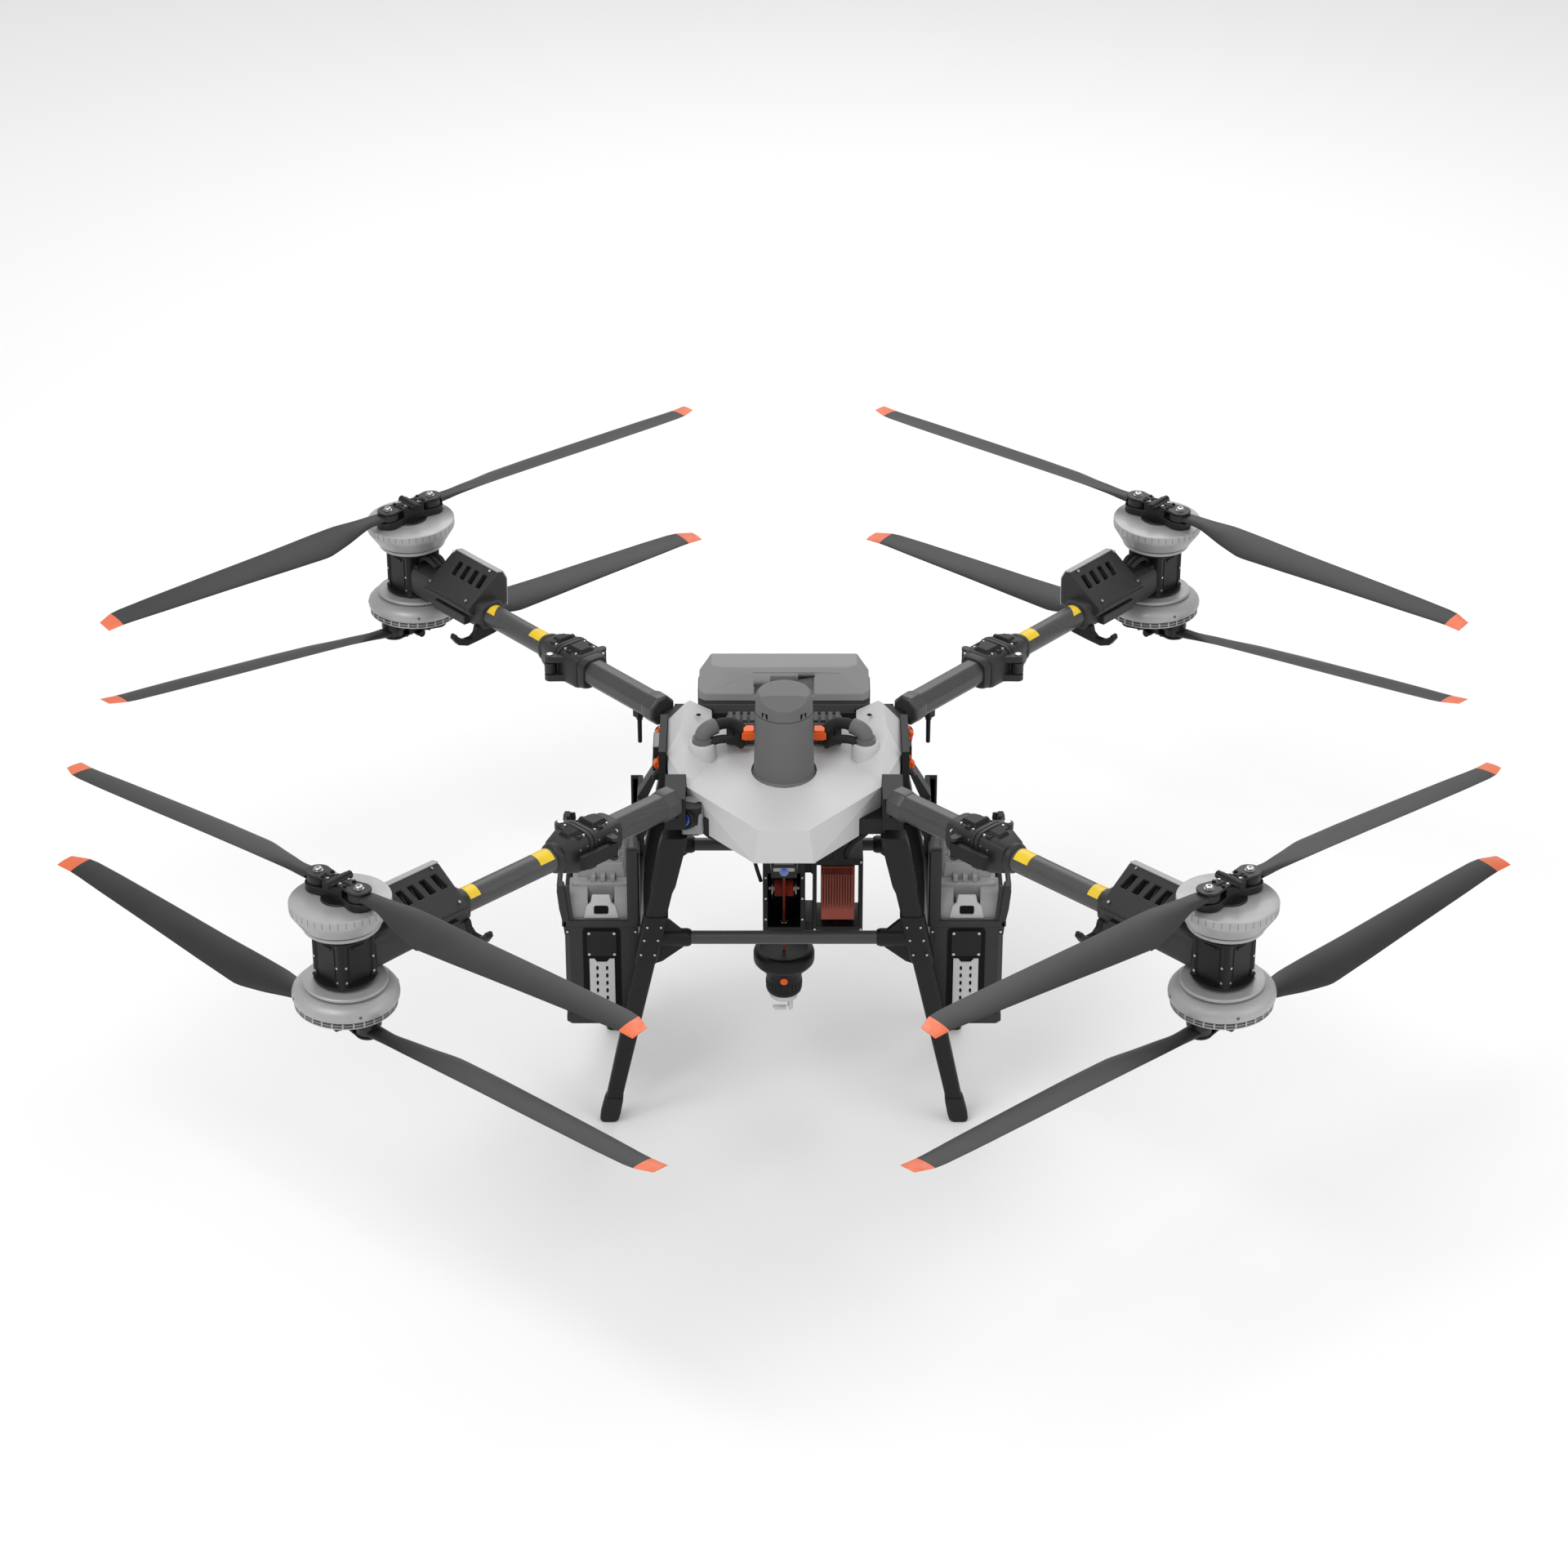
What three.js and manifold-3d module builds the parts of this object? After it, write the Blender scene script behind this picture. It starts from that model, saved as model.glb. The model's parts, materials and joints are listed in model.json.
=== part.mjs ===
// A heavy-lift cargo drone: four folding arms, each with an upper and a lower two-blade rotor, a battery
// cage on each side, a winch with a hook under the body and a parachute canister at the back.
// Millimetres. The ground is z = 0 under the middle of the body, the nose points along -Y and +X is right.
// The right half is modelled; the left half is its mirror image.
import * as THREE from "three";
import { ConvexGeometry } from "three/addons/geometries/ConvexGeometry.js";
import { mergeVertices } from "three/addons/utils/BufferGeometryUtils.js";
import Module from "manifold-3d";

const wasm = await Module();
wasm.setup();

// ---- driving dimensions ----
const GAP = 0.4; // between neighbouring pieces
const MOTOR_OFFSET = 825; // motor axes from the middle, both ways
const ARM_Z = 790; // height of the arm axis
const FRONT_ROOT = [223, -223]; // where the front arm leaves the body
const REAR_ROOT = [251, 160];
const FRONT_KNUCKLE = 252; // from the root to the fold joint
const REAR_KNUCKLE = 313;
const BLADE_REACH = 787; // from the motor axis to the blade tip
const PIN_OFFSET = 56; // from the motor axis to the blade pin
const UPPER_SEAT = 68; // upper motor's seat above the arm axis
const LOWER_SEAT = -40; // lower motor's seat, below it
const UPPER_PLANE = 88; // blade root above the upper seat
const LOWER_PLANE = 92; // blade root below the lower seat
const UPPER_RISE = -10; // how far a blade's tip stands above its root
const LOWER_RISE = 25;
// Each motor about the arm: turn is the blade line from the arm's own direction, tilt leans the motor,
// lead is the side of the leading edge. Degrees.
const FRONT_MOTORS = {
  upper: { turn: 86.9, tilt: -2, lead: -1 },
  lower: { turn: 85.5, tilt: 2.1, lead: 1 },
};
const REAR_MOTORS = {
  upper: { turn: 92.1, tilt: 2.1, lead: 1 },
  lower: { turn: 92.2, tilt: -2.5, lead: -1 },
};
const DECK = { x: 205, front: -200, back: 195, low: 700, high: 735 };
const RAIL = { inner: 241, outer: 256 };
const MAST = { y: -88, low: 778.4, high: 968, flange: 66, base: 61.5, top: 57.5 };
const CAGE = { inner: 300, outer: 452, half: 155, low: 220, high: 466, wall: 6, post: 641 };
const LEG = { top: [221, 198, 699.5], foot: [368, 180, 0] };
const BAR_Z = 452; // height of the crossbar between the front legs
const ROPE_R = 2.5;
const ROPE_TOP = 690; // the spare length stays inside the winch frame
const DRUM = { y: 30, z: 440, r: 26, half: 27 };

// ---- materials ----
const paint = (color, roughness, metalness = 0) =>
  new THREE.MeshStandardMaterial({ color, roughness, metalness });
const LOOK = {
  shell: paint(0xc8c8c8, 0.5),
  motor: paint(0xb8b9ba, 0.45, 0.3),
  mast: paint(0x6c6d6e, 0.55),
  canister: paint(0x8e8f90, 0.55),
  battery: paint(0x969798, 0.5),
  cage: paint(0x3a3b3c, 0.6),
  frame: paint(0x232425, 0.6),
  tube: paint(0x54565a, 0.4),
  blade: paint(0x3c3e40, 0.4),
  rope: paint(0xc04a2a, 0.8),
  fins: paint(0xa5503f, 0.45, 0.4),
  button: paint(0xf06414, 0.5),
  steel: paint(0xb9bbbd, 0.3, 0.9),
};

// ---- shape helpers: each returns a closed BufferGeometry ----
function toSolid(geometry) {
  const bare = geometry.clone();
  bare.deleteAttribute("normal");
  bare.deleteAttribute("uv");
  const merged = mergeVertices(bare, 1e-3);
  const vertProperties = merged.attributes.position.array;
  const triVerts = new Uint32Array(merged.index.array);
  const made = new wasm.Manifold(new wasm.Mesh({ numProp: 3, vertProperties, triVerts }));
  if (made.volume() >= 0) return made;
  triVerts.reverse();
  return new wasm.Manifold(new wasm.Mesh({ numProp: 3, vertProperties, triVerts }));
}

function toGeometry(solid) {
  const mesh = solid.getMesh();
  return new THREE.BufferGeometry()
    .setAttribute("position", new THREE.BufferAttribute(mesh.vertProperties, 3))
    .setIndex(new THREE.BufferAttribute(mesh.triVerts, 1));
}

const join = (...shapes) => toGeometry(shapes.map(toSolid).reduce((all, one) => all.add(one)));

const cut = (shape, ...tools) =>
  toGeometry(tools.map(toSolid).reduce((rest, tool) => rest.subtract(tool), toSolid(shape)));

// A block from the low to the high corner on each axis.
const block = (x, y, z) =>
  new THREE.BoxGeometry(x[1] - x[0], y[1] - y[0], z[1] - z[0]).translate(
    (x[0] + x[1]) / 2,
    (y[0] + y[1]) / 2,
    (z[0] + z[1]) / 2,
  );

const hull = (points) => new ConvexGeometry(points.map((p) => new THREE.Vector3(...p)));

// Corners mirrored across x = 0.
const bothSides = (points) => points.flatMap(([x, y, z]) => [[x, y, z], [-x, y, z]]);

// A round bar along Z; its top radius may differ.
const rodZ = (radius, low, high, sides = 12, topRadius = radius) =>
  new THREE.CylinderGeometry(topRadius, radius, high - low, sides)
    .rotateX(Math.PI / 2)
    .translate(0, 0, (low + high) / 2);

// A round bar along X.
const rodX = (radius, low, high, sides = 12) =>
  new THREE.CylinderGeometry(radius, radius, high - low, sides)
    .rotateZ(-Math.PI / 2)
    .translate((low + high) / 2, 0, 0);

// A round bar along Y.
const rodY = (radius, low, high, sides = 12) =>
  new THREE.CylinderGeometry(radius, radius, high - low, sides).translate(0, (low + high) / 2, 0);

// A turned solid about Z from [radius, height] points that start and end on the axis.
const turned = (profile, sides = 18) =>
  new THREE.LatheGeometry(profile.map((p) => new THREE.Vector2(...p)), sides).rotateX(Math.PI / 2);

// A plate with round ends, centred on the Z axis and lying along X.
function stadium(halfLength, radius, low, high) {
  const points = [];
  const steps = 4;
  for (const end of [-1, 1]) {
    for (let i = 0; i <= steps; i++) {
      const turn = (i / steps - 0.5) * Math.PI;
      const x = end * (halfLength + radius * Math.cos(turn));
      for (const z of [low, high]) points.push([x, radius * Math.sin(turn), z]);
    }
  }
  return hull(points);
}

// A plate that runs from a block at [x, y] ranges to a round eye at the origin.
function eye(radius, x, y, low, high) {
  const points = [];
  const sides = 12;
  for (const z of [low, high]) {
    for (let i = 0; i < sides; i++) {
      const turn = (2 * Math.PI * i) / sides;
      points.push([radius * Math.cos(turn), radius * Math.sin(turn), z]);
    }
    for (const corner of [[x[0], y[0]], [x[1], y[0]], [x[0], y[1]], [x[1], y[1]]]) {
      points.push([...corner, z]);
    }
  }
  return hull(points);
}

// A skin through rings of equal size, with flat ends.
function loft(rings) {
  const size = rings[0].length;
  const index = [];
  for (let r = 0; r + 1 < rings.length; r++) {
    for (let i = 0; i < size; i++) {
      const a = r * size + i;
      const b = r * size + ((i + 1) % size);
      index.push(a, b, b + size, a, b + size, a + size);
    }
  }
  const last = (rings.length - 1) * size;
  for (let i = 1; i + 1 < size; i++) {
    index.push(0, i + 1, i, last, last + i, last + i + 1);
  }
  const flat = new Float32Array(rings.flat(2));
  return new THREE.BufferGeometry()
    .setAttribute("position", new THREE.BufferAttribute(flat, 3))
    .setIndex(index);
}

// Adds a named piece to a group.
function piece(group, name, geometry, look) {
  const mesh = new THREE.Mesh(toGeometry(toSolid(geometry)), look.clone());
  mesh.name = name;
  group.add(mesh);
  return mesh;
}

// ---- rotors ----
// The blade from its pin outwards along X. lead is +1 when the leading edge is on +Y; rise is how far
// the tip stands above the root.
function bladeShape(lead, rise) {
  const length = BLADE_REACH - PIN_OFFSET;
  // distance along, leading edge, trailing edge, half thickness, pitch in degrees
  const stations = [
    [18, 19, -19, 7, 0],
    [60, 20, -19, 6.5, 7],
    [125, 26, -39, 5.5, 15],
    [190, 26, -56, 4.8, 15],
    [300, 25, -52, 4, 12.5],
    [450, 26, -44, 3.2, 10],
    [600, 26, -36, 2.6, 8],
    [690, 24, -30, 2.2, 7],
    [length, 5, -33, 1.6, 6],
  ];
  const rings = stations.map(([x, front, back, half, pitch]) => {
    const slope = Math.tan(THREE.MathUtils.degToRad(pitch));
    const lift = rise * Math.max(0, x - 60) / (length - 60);
    const chord = front - back;
    const at = (part, height) => {
      const y = back + chord * part;
      return [x, lead * y, lift + slope * y + height * half];
    };
    return [at(0, 0), at(0.3, -0.7), at(0.75, -1), at(1, 0), at(0.75, 1), at(0.3, 0.8)];
  });
  const lug = rodZ(22, -7, 7, 12);
  return cut(join(lug, loft(rings)), rodZ(6.9, -9, 9, 8));
}

// The clamp that holds two blades, from the motor's face up to the bolt heads.
function clampShape(face, plane) {
  const parts = [
    block([-28, 28], [-22, 22], [face - 2, plane + 15]),
    stadium(PIN_OFFSET, 27, plane - 24, plane - 8),
    stadium(PIN_OFFSET, 24, plane + 8, plane + 15),
  ];
  for (const end of [-1, 1]) {
    parts.push(rodZ(6, plane - 10, plane + 15, 8).translate(end * PIN_OFFSET, 0, 0));
    parts.push(rodZ(10, plane + 14, plane + 20, 6).translate(end * PIN_OFFSET, 0, 0));
  }
  return parts;
}

// Bell outlines as [radius, height above the seat].
const UPPER_BELL = [[0, 2], [73, 2], [73, 11], [79, 15], [97, 44], [97, 60], [94, 62], [0, 62]];
const LOWER_BELL = [[0, 2], [80, 2], [80, 9], [76, 13], [102, 28], [102, 42], [97, 46], [97, 57], [0, 57]];
const heightOf = (profile) => profile[profile.length - 1][1];

// One motor bell with its clamp and blades; where holds the motor's place and hand.
function rotor(arm, name, where) {
  const upper = where.seat > 0;
  const plane = upper ? UPPER_PLANE : LOWER_PLANE;
  const group = new THREE.Group();
  group.position.set(where.reach, 0, where.seat);
  group.rotation.x = THREE.MathUtils.degToRad(where.tilt);
  arm.add(group);

  const bell = upper ? UPPER_BELL : LOWER_BELL;
  const hub = join(turned(bell), ...clampShape(heightOf(bell), plane));
  if (!upper) hub.scale(1, 1, -1);
  const spin = new THREE.Group();
  spin.rotation.z = THREE.MathUtils.degToRad(where.turn);
  group.add(spin);
  piece(spin, `${name}_hub_${where.tag}`, hub, LOOK.motor);

  for (const [letter, half] of [["a", 0], ["b", Math.PI]]) {
    const hinge = new THREE.Group();
    hinge.rotation.z = half;
    const pin = new THREE.Group();
    pin.position.set(PIN_OFFSET, 0, upper ? plane : -plane);
    hinge.add(pin);
    spin.add(hinge);
    const blade = bladeShape(where.lead, where.rise);
    piece(pin, `${name}_blade_${letter}_${where.tag}`, blade, LOOK.blade);
  }
}

// ---- arms ----
const KNUCKLE = { half: 41, low: -39, high: 41, pin: 56 };
const LATCH = { x: -40, y: -55 };
const SOCKET_R = 36; // round end of the inner arm in the body
const TUBE_R = 25; // carbon tube outside the knuckle

// A knuckle half: a chamfered block from x0 to x1 whose far end is smaller.
function knuckleBlock(x0, x1, far) {
  const { half, low, high } = KNUCKLE;
  const points = [];
  for (const side of [-1, 1]) {
    points.push([x0, side * half, low + 12], [x0, side * half, high - 14]);
    points.push([x0, side * (half - 12), low], [x0, side * (half - 14), high]);
    points.push([x1, side * far, -far * 0.7], [x1, side * far, far * 0.7]);
    points.push([x1, side * far * 0.7, -far], [x1, side * far * 0.7, far]);
    const waist = x0 + (x1 - x0) * 0.6;
    points.push([waist, side * half, low + 14], [waist, side * half, high - 18]);
    points.push([waist, side * (half - 14), low], [waist, side * (half - 16), high]);
  }
  return hull(points);
}

function innerArm(knuckle, rear) {
  const parts = [
    rodX(SOCKET_R, 0, 34, 12),
    rodX(31, 20, knuckle - 55, 8).rotateX(Math.PI / 8),
    knuckleBlock(knuckle - GAP, knuckle - 75, 33),
  ];
  for (const side of [-1, 1]) {
    const low = side > 0 ? 14 : -30;
    parts.push(
      eye(12, [-34, -4], [-KNUCKLE.pin + 38, -KNUCKLE.pin + 42], low, low + 16)
        .translate(knuckle, KNUCKLE.pin, 0),
    );
    const latchLow = side > 0 ? 17 : -25;
    parts.push(
      eye(9, [-10, 10], [11, 16], latchLow, latchLow + 8)
        .translate(knuckle + LATCH.x, LATCH.y, 0),
    );
  }
  parts.push(rodZ(6, -20, 20, 10).translate(knuckle, KNUCKLE.pin, 0));
  parts.push(rodZ(4, -20, 20, 8).translate(knuckle + LATCH.x, LATCH.y, 0));
  if (rear) {
    // the rod antenna hangs from a small bracket
    parts.push(block([70, 92], [-12, 12], [-44, -26]));
    parts.push(rodZ(5, -107, -40, 8).translate(81, 0, 0));
  }
  return join(...parts);
}

function outerArm(knuckle, reach) {
  const lug = eye(12, [9, 36], [-KNUCKLE.pin + 37, -KNUCKLE.pin + 41], -12, 12)
    .translate(knuckle, KNUCKLE.pin, 0);
  const body = join(
    knuckleBlock(knuckle + GAP, knuckle + 70, 29),
    rodX(TUBE_R, knuckle + 60, reach - POD_TO_MOTOR - 1, 14),
    lug,
  );
  return cut(body, rodZ(6.7, -20, 20, 12).translate(knuckle, KNUCKLE.pin, 0));
}

// The lever lies along the knuckle's side and swings outwards about the pin at its inner end.
function latchLever() {
  const bar = eye(8, [70, 88], [-6, 5], -15, 15);
  return cut(bar, rodZ(4.7, -20, 20, 10));
}

// The speed controller's housing on top of the tube, as [y, z]: a low front edge and a high back.
const POD_SECTION = [[-52, 12], [-50, 24], [36, 84], [50, 80], [58, 62], [58, 0], [-40, 0]];
const POD_LENGTH = 241;
const POD_TO_MOTOR = 287; // from the pod's inner end to the motor axis

// A 16 mm plate across the arm from its [y, z] corners, near the pod's inner end.
const cradle = (corners) => hull(corners.flatMap(([y, z]) => [[4, y, z], [20, y, z]]));

// The controller's housing, the motor column at its end and the hook that steadies a folded tube.
function controllerPod(reach) {
  const inner = reach - POD_TO_MOTOR;
  const end = inner + POD_LENGTH;
  const housing = POD_SECTION.flatMap(([y, z]) => [[inner + 19, y, z], [end - 62, y, z]]);
  const skirt = [-1, 1].flatMap((side) => [
    [inner + 6, side * 26, -36], [end, side * 34, -36],
    [inner, side * 36, -18], [end, side * 44, -18],
    [inner, side * 36, 18], [end, side * 44, 30],
    [inner + 6, side * 24, 30], [end, side * 30, 46],
  ]);
  return join(
    hull(housing),
    hull(skirt),
    cradle([[26, -34], [-26, -34], [-26, -50], [26, -44]]).translate(inner, 0, 0),
    cradle([[-16, -34], [-20, -50], [-62, -56], [-60, -44]]).translate(inner, 0, 0),
    cradle([[-56, -56], [-56, -44], [-98, -34], [-100, -22], [-90, -30]]).translate(inner, 0, 0),
    block([end - 6, reach - 30], [-34, 34], [-30, 34]),
    block([reach - 45, reach + 45], [-45, 45], [-34, 61]),
    rodZ(60, 58, 65, 16).translate(reach, 0, 0),
    rodZ(60, -37, -30, 16).translate(reach, 0, 0),
  );
}

function armFrame(root) {
  const group = new THREE.Group();
  group.position.set(root[0], root[1], ARM_Z);
  group.rotation.z = Math.atan2(Math.sign(root[1]) * MOTOR_OFFSET - root[1], MOTOR_OFFSET - root[0]);
  return group;
}

const reachOf = (root) => Math.hypot(MOTOR_OFFSET - root[0], MOTOR_OFFSET - Math.abs(root[1]));

function arm(side, tag, rear) {
  const root = rear ? REAR_ROOT : FRONT_ROOT;
  const knuckle = rear ? REAR_KNUCKLE : FRONT_KNUCKLE;
  const reach = reachOf(root);
  const group = armFrame(root);
  side.add(group);

  piece(group, `arm_inner_${tag}`, innerArm(knuckle, rear), LOOK.tube);
  // The rear arms fold forwards, so their hinge and latch change sides.
  const hand = new THREE.Group();
  group.add(hand);
  piece(hand, `arm_outer_${tag}`, outerArm(knuckle, reach), LOOK.tube);
  const latch = piece(hand, `arm_latch_${tag}`, latchLever(), LOOK.frame);
  latch.position.set(knuckle + LATCH.x, LATCH.y, 0);
  piece(group, `controller_pod_${tag}`, controllerPod(reach), LOOK.cage);
  if (rear) {
    hand.scale.y = -1;
    group.children[0].scale.y = -1;
  }
  const motors = rear ? REAR_MOTORS : FRONT_MOTORS;
  rotor(group, "upper", { ...motors.upper, reach, tag, seat: UPPER_SEAT, rise: UPPER_RISE });
  rotor(group, "lower", { ...motors.lower, reach, tag, seat: LOWER_SEAT, rise: LOWER_RISE });
}

// ---- body ----
// The space that the inner arm's round end takes in the body.
function armSocket(root, mirror) {
  const shape = rodX(SOCKET_R + GAP, -GAP, 80, 12);
  const place = armFrame(root);
  place.updateMatrix();
  shape.applyMatrix4(place.matrix);
  if (mirror) shape.scale(-1, 1, 1);
  return shape;
}

const armSockets = () =>
  [FRONT_ROOT, REAR_ROOT].flatMap((root) => [armSocket(root, false), armSocket(root, true)]);

// The dark blocks that carry the arms, with room round them when grow is over zero.
function cornerBlocks(grow) {
  const blocks = [];
  for (const side of [-1, 1]) {
    const front = onSide(side, [198 - grow, 240 + grow]);
    blocks.push(block(front, [-234 - grow, -130 + grow], [DECK.high - 6, 800 + grow]));
    const rear = onSide(side, [190 - grow, 252 + grow]);
    blocks.push(block(rear, [118 - grow, 190 + grow], [DECK.high - 6, 792 + grow]));
  }
  return blocks;
}

// A range of x on the right, or its mirror image when side is -1.
const onSide = (side, [low, high]) => (side > 0 ? [low, high] : [-high, -low]);

// The camera beside the nose, with room round it when grow is over zero.
const cameraHousing = (grow) =>
  hull(chamferedCorners([-204 - grow, -166 + grow], [-210 - grow, -160 + grow], [702 - grow, 764 + grow], 8));

const canisterSeat = (grow) =>
  block([-150 - grow, 150 + grow], [120 - grow, 186 + grow], [DECK.high - 4, 803]);

function centreFrame() {
  const parts = [
    block([-DECK.x, DECK.x], [DECK.front, DECK.back], [DECK.low, DECK.high]),
    canisterSeat(0),
    ...cornerBlocks(0),
    // the bar under the nose and the camera on it
    block([-20, 20], [-262, -170], [672, 687]),
    block([-20, 20], [-196, -170], [672, 702]),
    block([-26, 26], [-302, -258], [657, 687]),
    cameraHousing(0),
    // the module on the left side
    block([-268, -RAIL.outer + 1], [-32, 32], [732, 808]),
  ];
  for (const side of [-1, 1]) {
    parts.push(block(onSide(side, [DECK.x - 3, RAIL.outer]), [-45, 105], [705, 727]));
    parts.push(block(onSide(side, [RAIL.inner, RAIL.outer]), [-58, 105], [705, 812]));
  }
  return cut(join(...parts), ...armSockets());
}

// The corners of a block whose upright edges are chamfered.
function chamferedCorners(x, y, z, chamfer) {
  const points = [];
  for (const height of z) {
    for (const [i, ends] of [[0, 1], [1, -1]]) {
      for (const [j, way] of [[0, 1], [1, -1]]) {
        points.push([x[i] + ends * chamfer, y[j], height], [x[i], y[j] + way * chamfer, height]);
      }
    }
  }
  return points;
}

// The faceted cover: a low deck that falls to the nose, and a raised shoulder on each side.
function topShell() {
  const deck = hull(bothSides([
    [50, -285, 757], [60, -300, 690], [88, -165, 775], [196, -152, 782], [196, -152, 700],
    [196, -60, 700], [196, -60, 784], [120, 20, 796], [120, 116, 800], [172, 116, 760],
    [172, 116, 700], [60, -120, 783],
  ]));
  const shoulder = (side) =>
    hull([
      [150, -100, 778], [196, -152, 782], [196, -152, 738], [236, -64, 764], [236, -64, 738],
      [240, -40, 798], [240, 96, 804], [240, 116, 790], [240, 116, 738], [203, 100, 842],
      [195, 117, 838], [212, 0, 836], [150, 117, 815], [148, -20, 804], [150, 117, 738],
      [150, -100, 738],
    ].map(([x, y, z]) => [side * x, y, z]));
  const elbowBoss = (side) => rodZ(27, 780, 826, 16, 25).translate(side * 166, -40, 0);
  const whole = join(deck, shoulder(1), shoulder(-1), elbowBoss(1), elbowBoss(-1));
  return cut(
    whole,
    block([-DECK.x - GAP, DECK.x + GAP], [DECK.front - GAP, 300], [600, DECK.high + GAP]),
    canisterSeat(GAP),
    cameraHousing(GAP),
    ...cornerBlocks(GAP),
    ...armSockets(),
    rodZ(MAST.flange + 1, MAST.low - GAP, 900, 24).translate(0, MAST.y, 0),
  );
}

function antennaMast() {
  const body = turned([
    [0, MAST.low], [MAST.flange, MAST.low], [MAST.flange, MAST.low + 5], [MAST.base, MAST.low + 8],
    [MAST.top, MAST.high - 6], [MAST.top - 6, MAST.high], [0, MAST.high],
  ], 24);
  const slant = block([-80, 80], [-80, 80], [0, 60])
    .rotateX(THREE.MathUtils.degToRad(26))
    .translate(0, -22, MAST.high - 1);
  return cut(body, slant).translate(0, MAST.y, 0);
}

function parachuteCanister() {
  const body = hull(bothSides([
    [165, 122, 803.5], [165, 232, 803.5], [178, 132, 818], [178, 226, 818], [178, 132, 852],
    [178, 226, 852], [166, 120, 846], [166, 120, 818], [166, 235, 822], [166, 235, 850],
    [150, 169, 894], [150, 223, 894],
  ]));
  return cut(body, block([-60, 60], [100, 160], [852, 900]));
}

// ---- undercarriage ----
function batteryCage() {
  const { inner, outer, half, low, high, wall, post } = CAGE;
  const tray = cut(
    hull(chamferedCorners([inner, outer], [-half, half], [low, high], 10)),
    block([inner + wall, outer - wall], [-half + wall, half - wall], [low + wall, high + 1]),
  );
  const parts = [tray];
  // four posts, the rim that joins them and the arms that hang the cage from the body
  for (const end of [-1, 1]) {
    const y = end > 0 ? [half - 40, half] : [-half, -half + 40];
    parts.push(block([inner, inner + wall], y, [high - 30, post]));
    const face = end > 0 ? [half - 5, half] : [-half, -half + 5];
    parts.push(block([inner, inner + 22], face, [high - 20, post]));
    parts.push(hull([[0, high - 20], [9, post - 90]].flatMap(([out, z]) => face.flatMap((edge) => [
      [outer - 20 + out, edge, z], [outer + out, edge, z],
    ]))));
    parts.push(hull([
      [outer - wall, y[0], high - 30], [outer, y[0], high - 30], [outer - wall, y[1], high - 30],
      [outer, y[1], high - 30], [outer + 6, y[0], post - 90], [outer + 12, y[0], post - 90],
      [outer + 6, y[1], post - 90], [outer + 12, y[1], post - 90],
    ]));
    parts.push(hull([
      [inner, end * 60, post - 40], [inner, end * 100, post - 40], [inner + wall, end * 60, post],
      [inner + wall, end * 100, post], [inner, end * 60, post], [inner, end * 100, post],
      [RAIL.outer + GAP, end * 60, 706], [RAIL.outer + GAP, end * 100, 706],
      [RAIL.outer + GAP, end * 60, 726], [RAIL.outer + GAP, end * 100, 726],
    ]));
  }
  parts.push(block([inner, inner + wall], [-half, half], [post - 30, post]));
  parts.push(block([outer + 6, outer + 12], [-half, half], [post - 110, post - 90]));
  return join(...parts);
}

function battery() {
  const { inner, outer, half, low, wall } = CAGE;
  const x = [inner + wall + 2, outer - wall - 2];
  const y = [-half + wall + 3, half - wall - 3];
  const floor = low + wall + 1;
  return join(
    block(x, y, [floor, 500]),
    hull([
      [x[0], y[0], 498], [x[1], y[0], 498], [x[0], y[1], 498], [x[1], y[1], 498],
      [x[0] + 6, y[0] + 34, 566], [x[1] - 6, y[0] + 34, 566],
      [x[0] + 6, y[1] - 34, 566], [x[1] - 6, y[1] - 34, 566],
    ]),
    // the carrying latch at the front and the raised lid strip
    block([x[0] + 38, x[1] - 38], [y[0] + 2, y[0] + 40], [495, 522]),
    block([x[0] + 24, x[1] - 24], [y[0] + 60, y[1] - 60], [560, 578]),
  );
}

// A leg from the frame's corner down and out to its rubber foot.
function leg() {
  const [topX, topY, topZ] = LEG.top;
  const [footX, footY] = LEG.foot;
  const section = (share, halfX, halfY) => {
    const x = topX + (footX - topX) * share;
    const y = topY + (footY - topY) * share;
    const z = topZ * (1 - share);
    return [[-1, -1], [1, -1], [1, 1], [-1, 1]].map(([i, j]) => [x + i * halfX, y + j * halfY, z]);
  };
  return join(
    hull([...section(0, 28, 22), ...section(0.2, 25, 21)]),
    hull([...section(0.19, 23, 19), ...section(0.93, 17, 16)]),
    hull([...section(0.9, 20, 19), ...section(0.985, 21, 20), ...section(1, 17, 16)]),
  );
}

const BAR_Y = LEG.top[1] - (LEG.top[1] - LEG.foot[1]) * (1 - BAR_Z / LEG.top[2]);

// The bar between the front legs, with a sleeve and a gusset at each end.
function crossbar() {
  const parts = [rodX(14, -246, 246, 14)];
  for (const side of [-1, 1]) {
    parts.push(rodX(19, ...onSide(side, [196, 244]), 14));
    parts.push(hull([-6, 6].flatMap((y) => [
      [side * 198, y, -8], [side * 248, y, -8], [side * 253, y, -46], [side * 240, y, -46],
    ])));
  }
  return join(...parts).translate(0, 0, BAR_Z);
}

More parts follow.
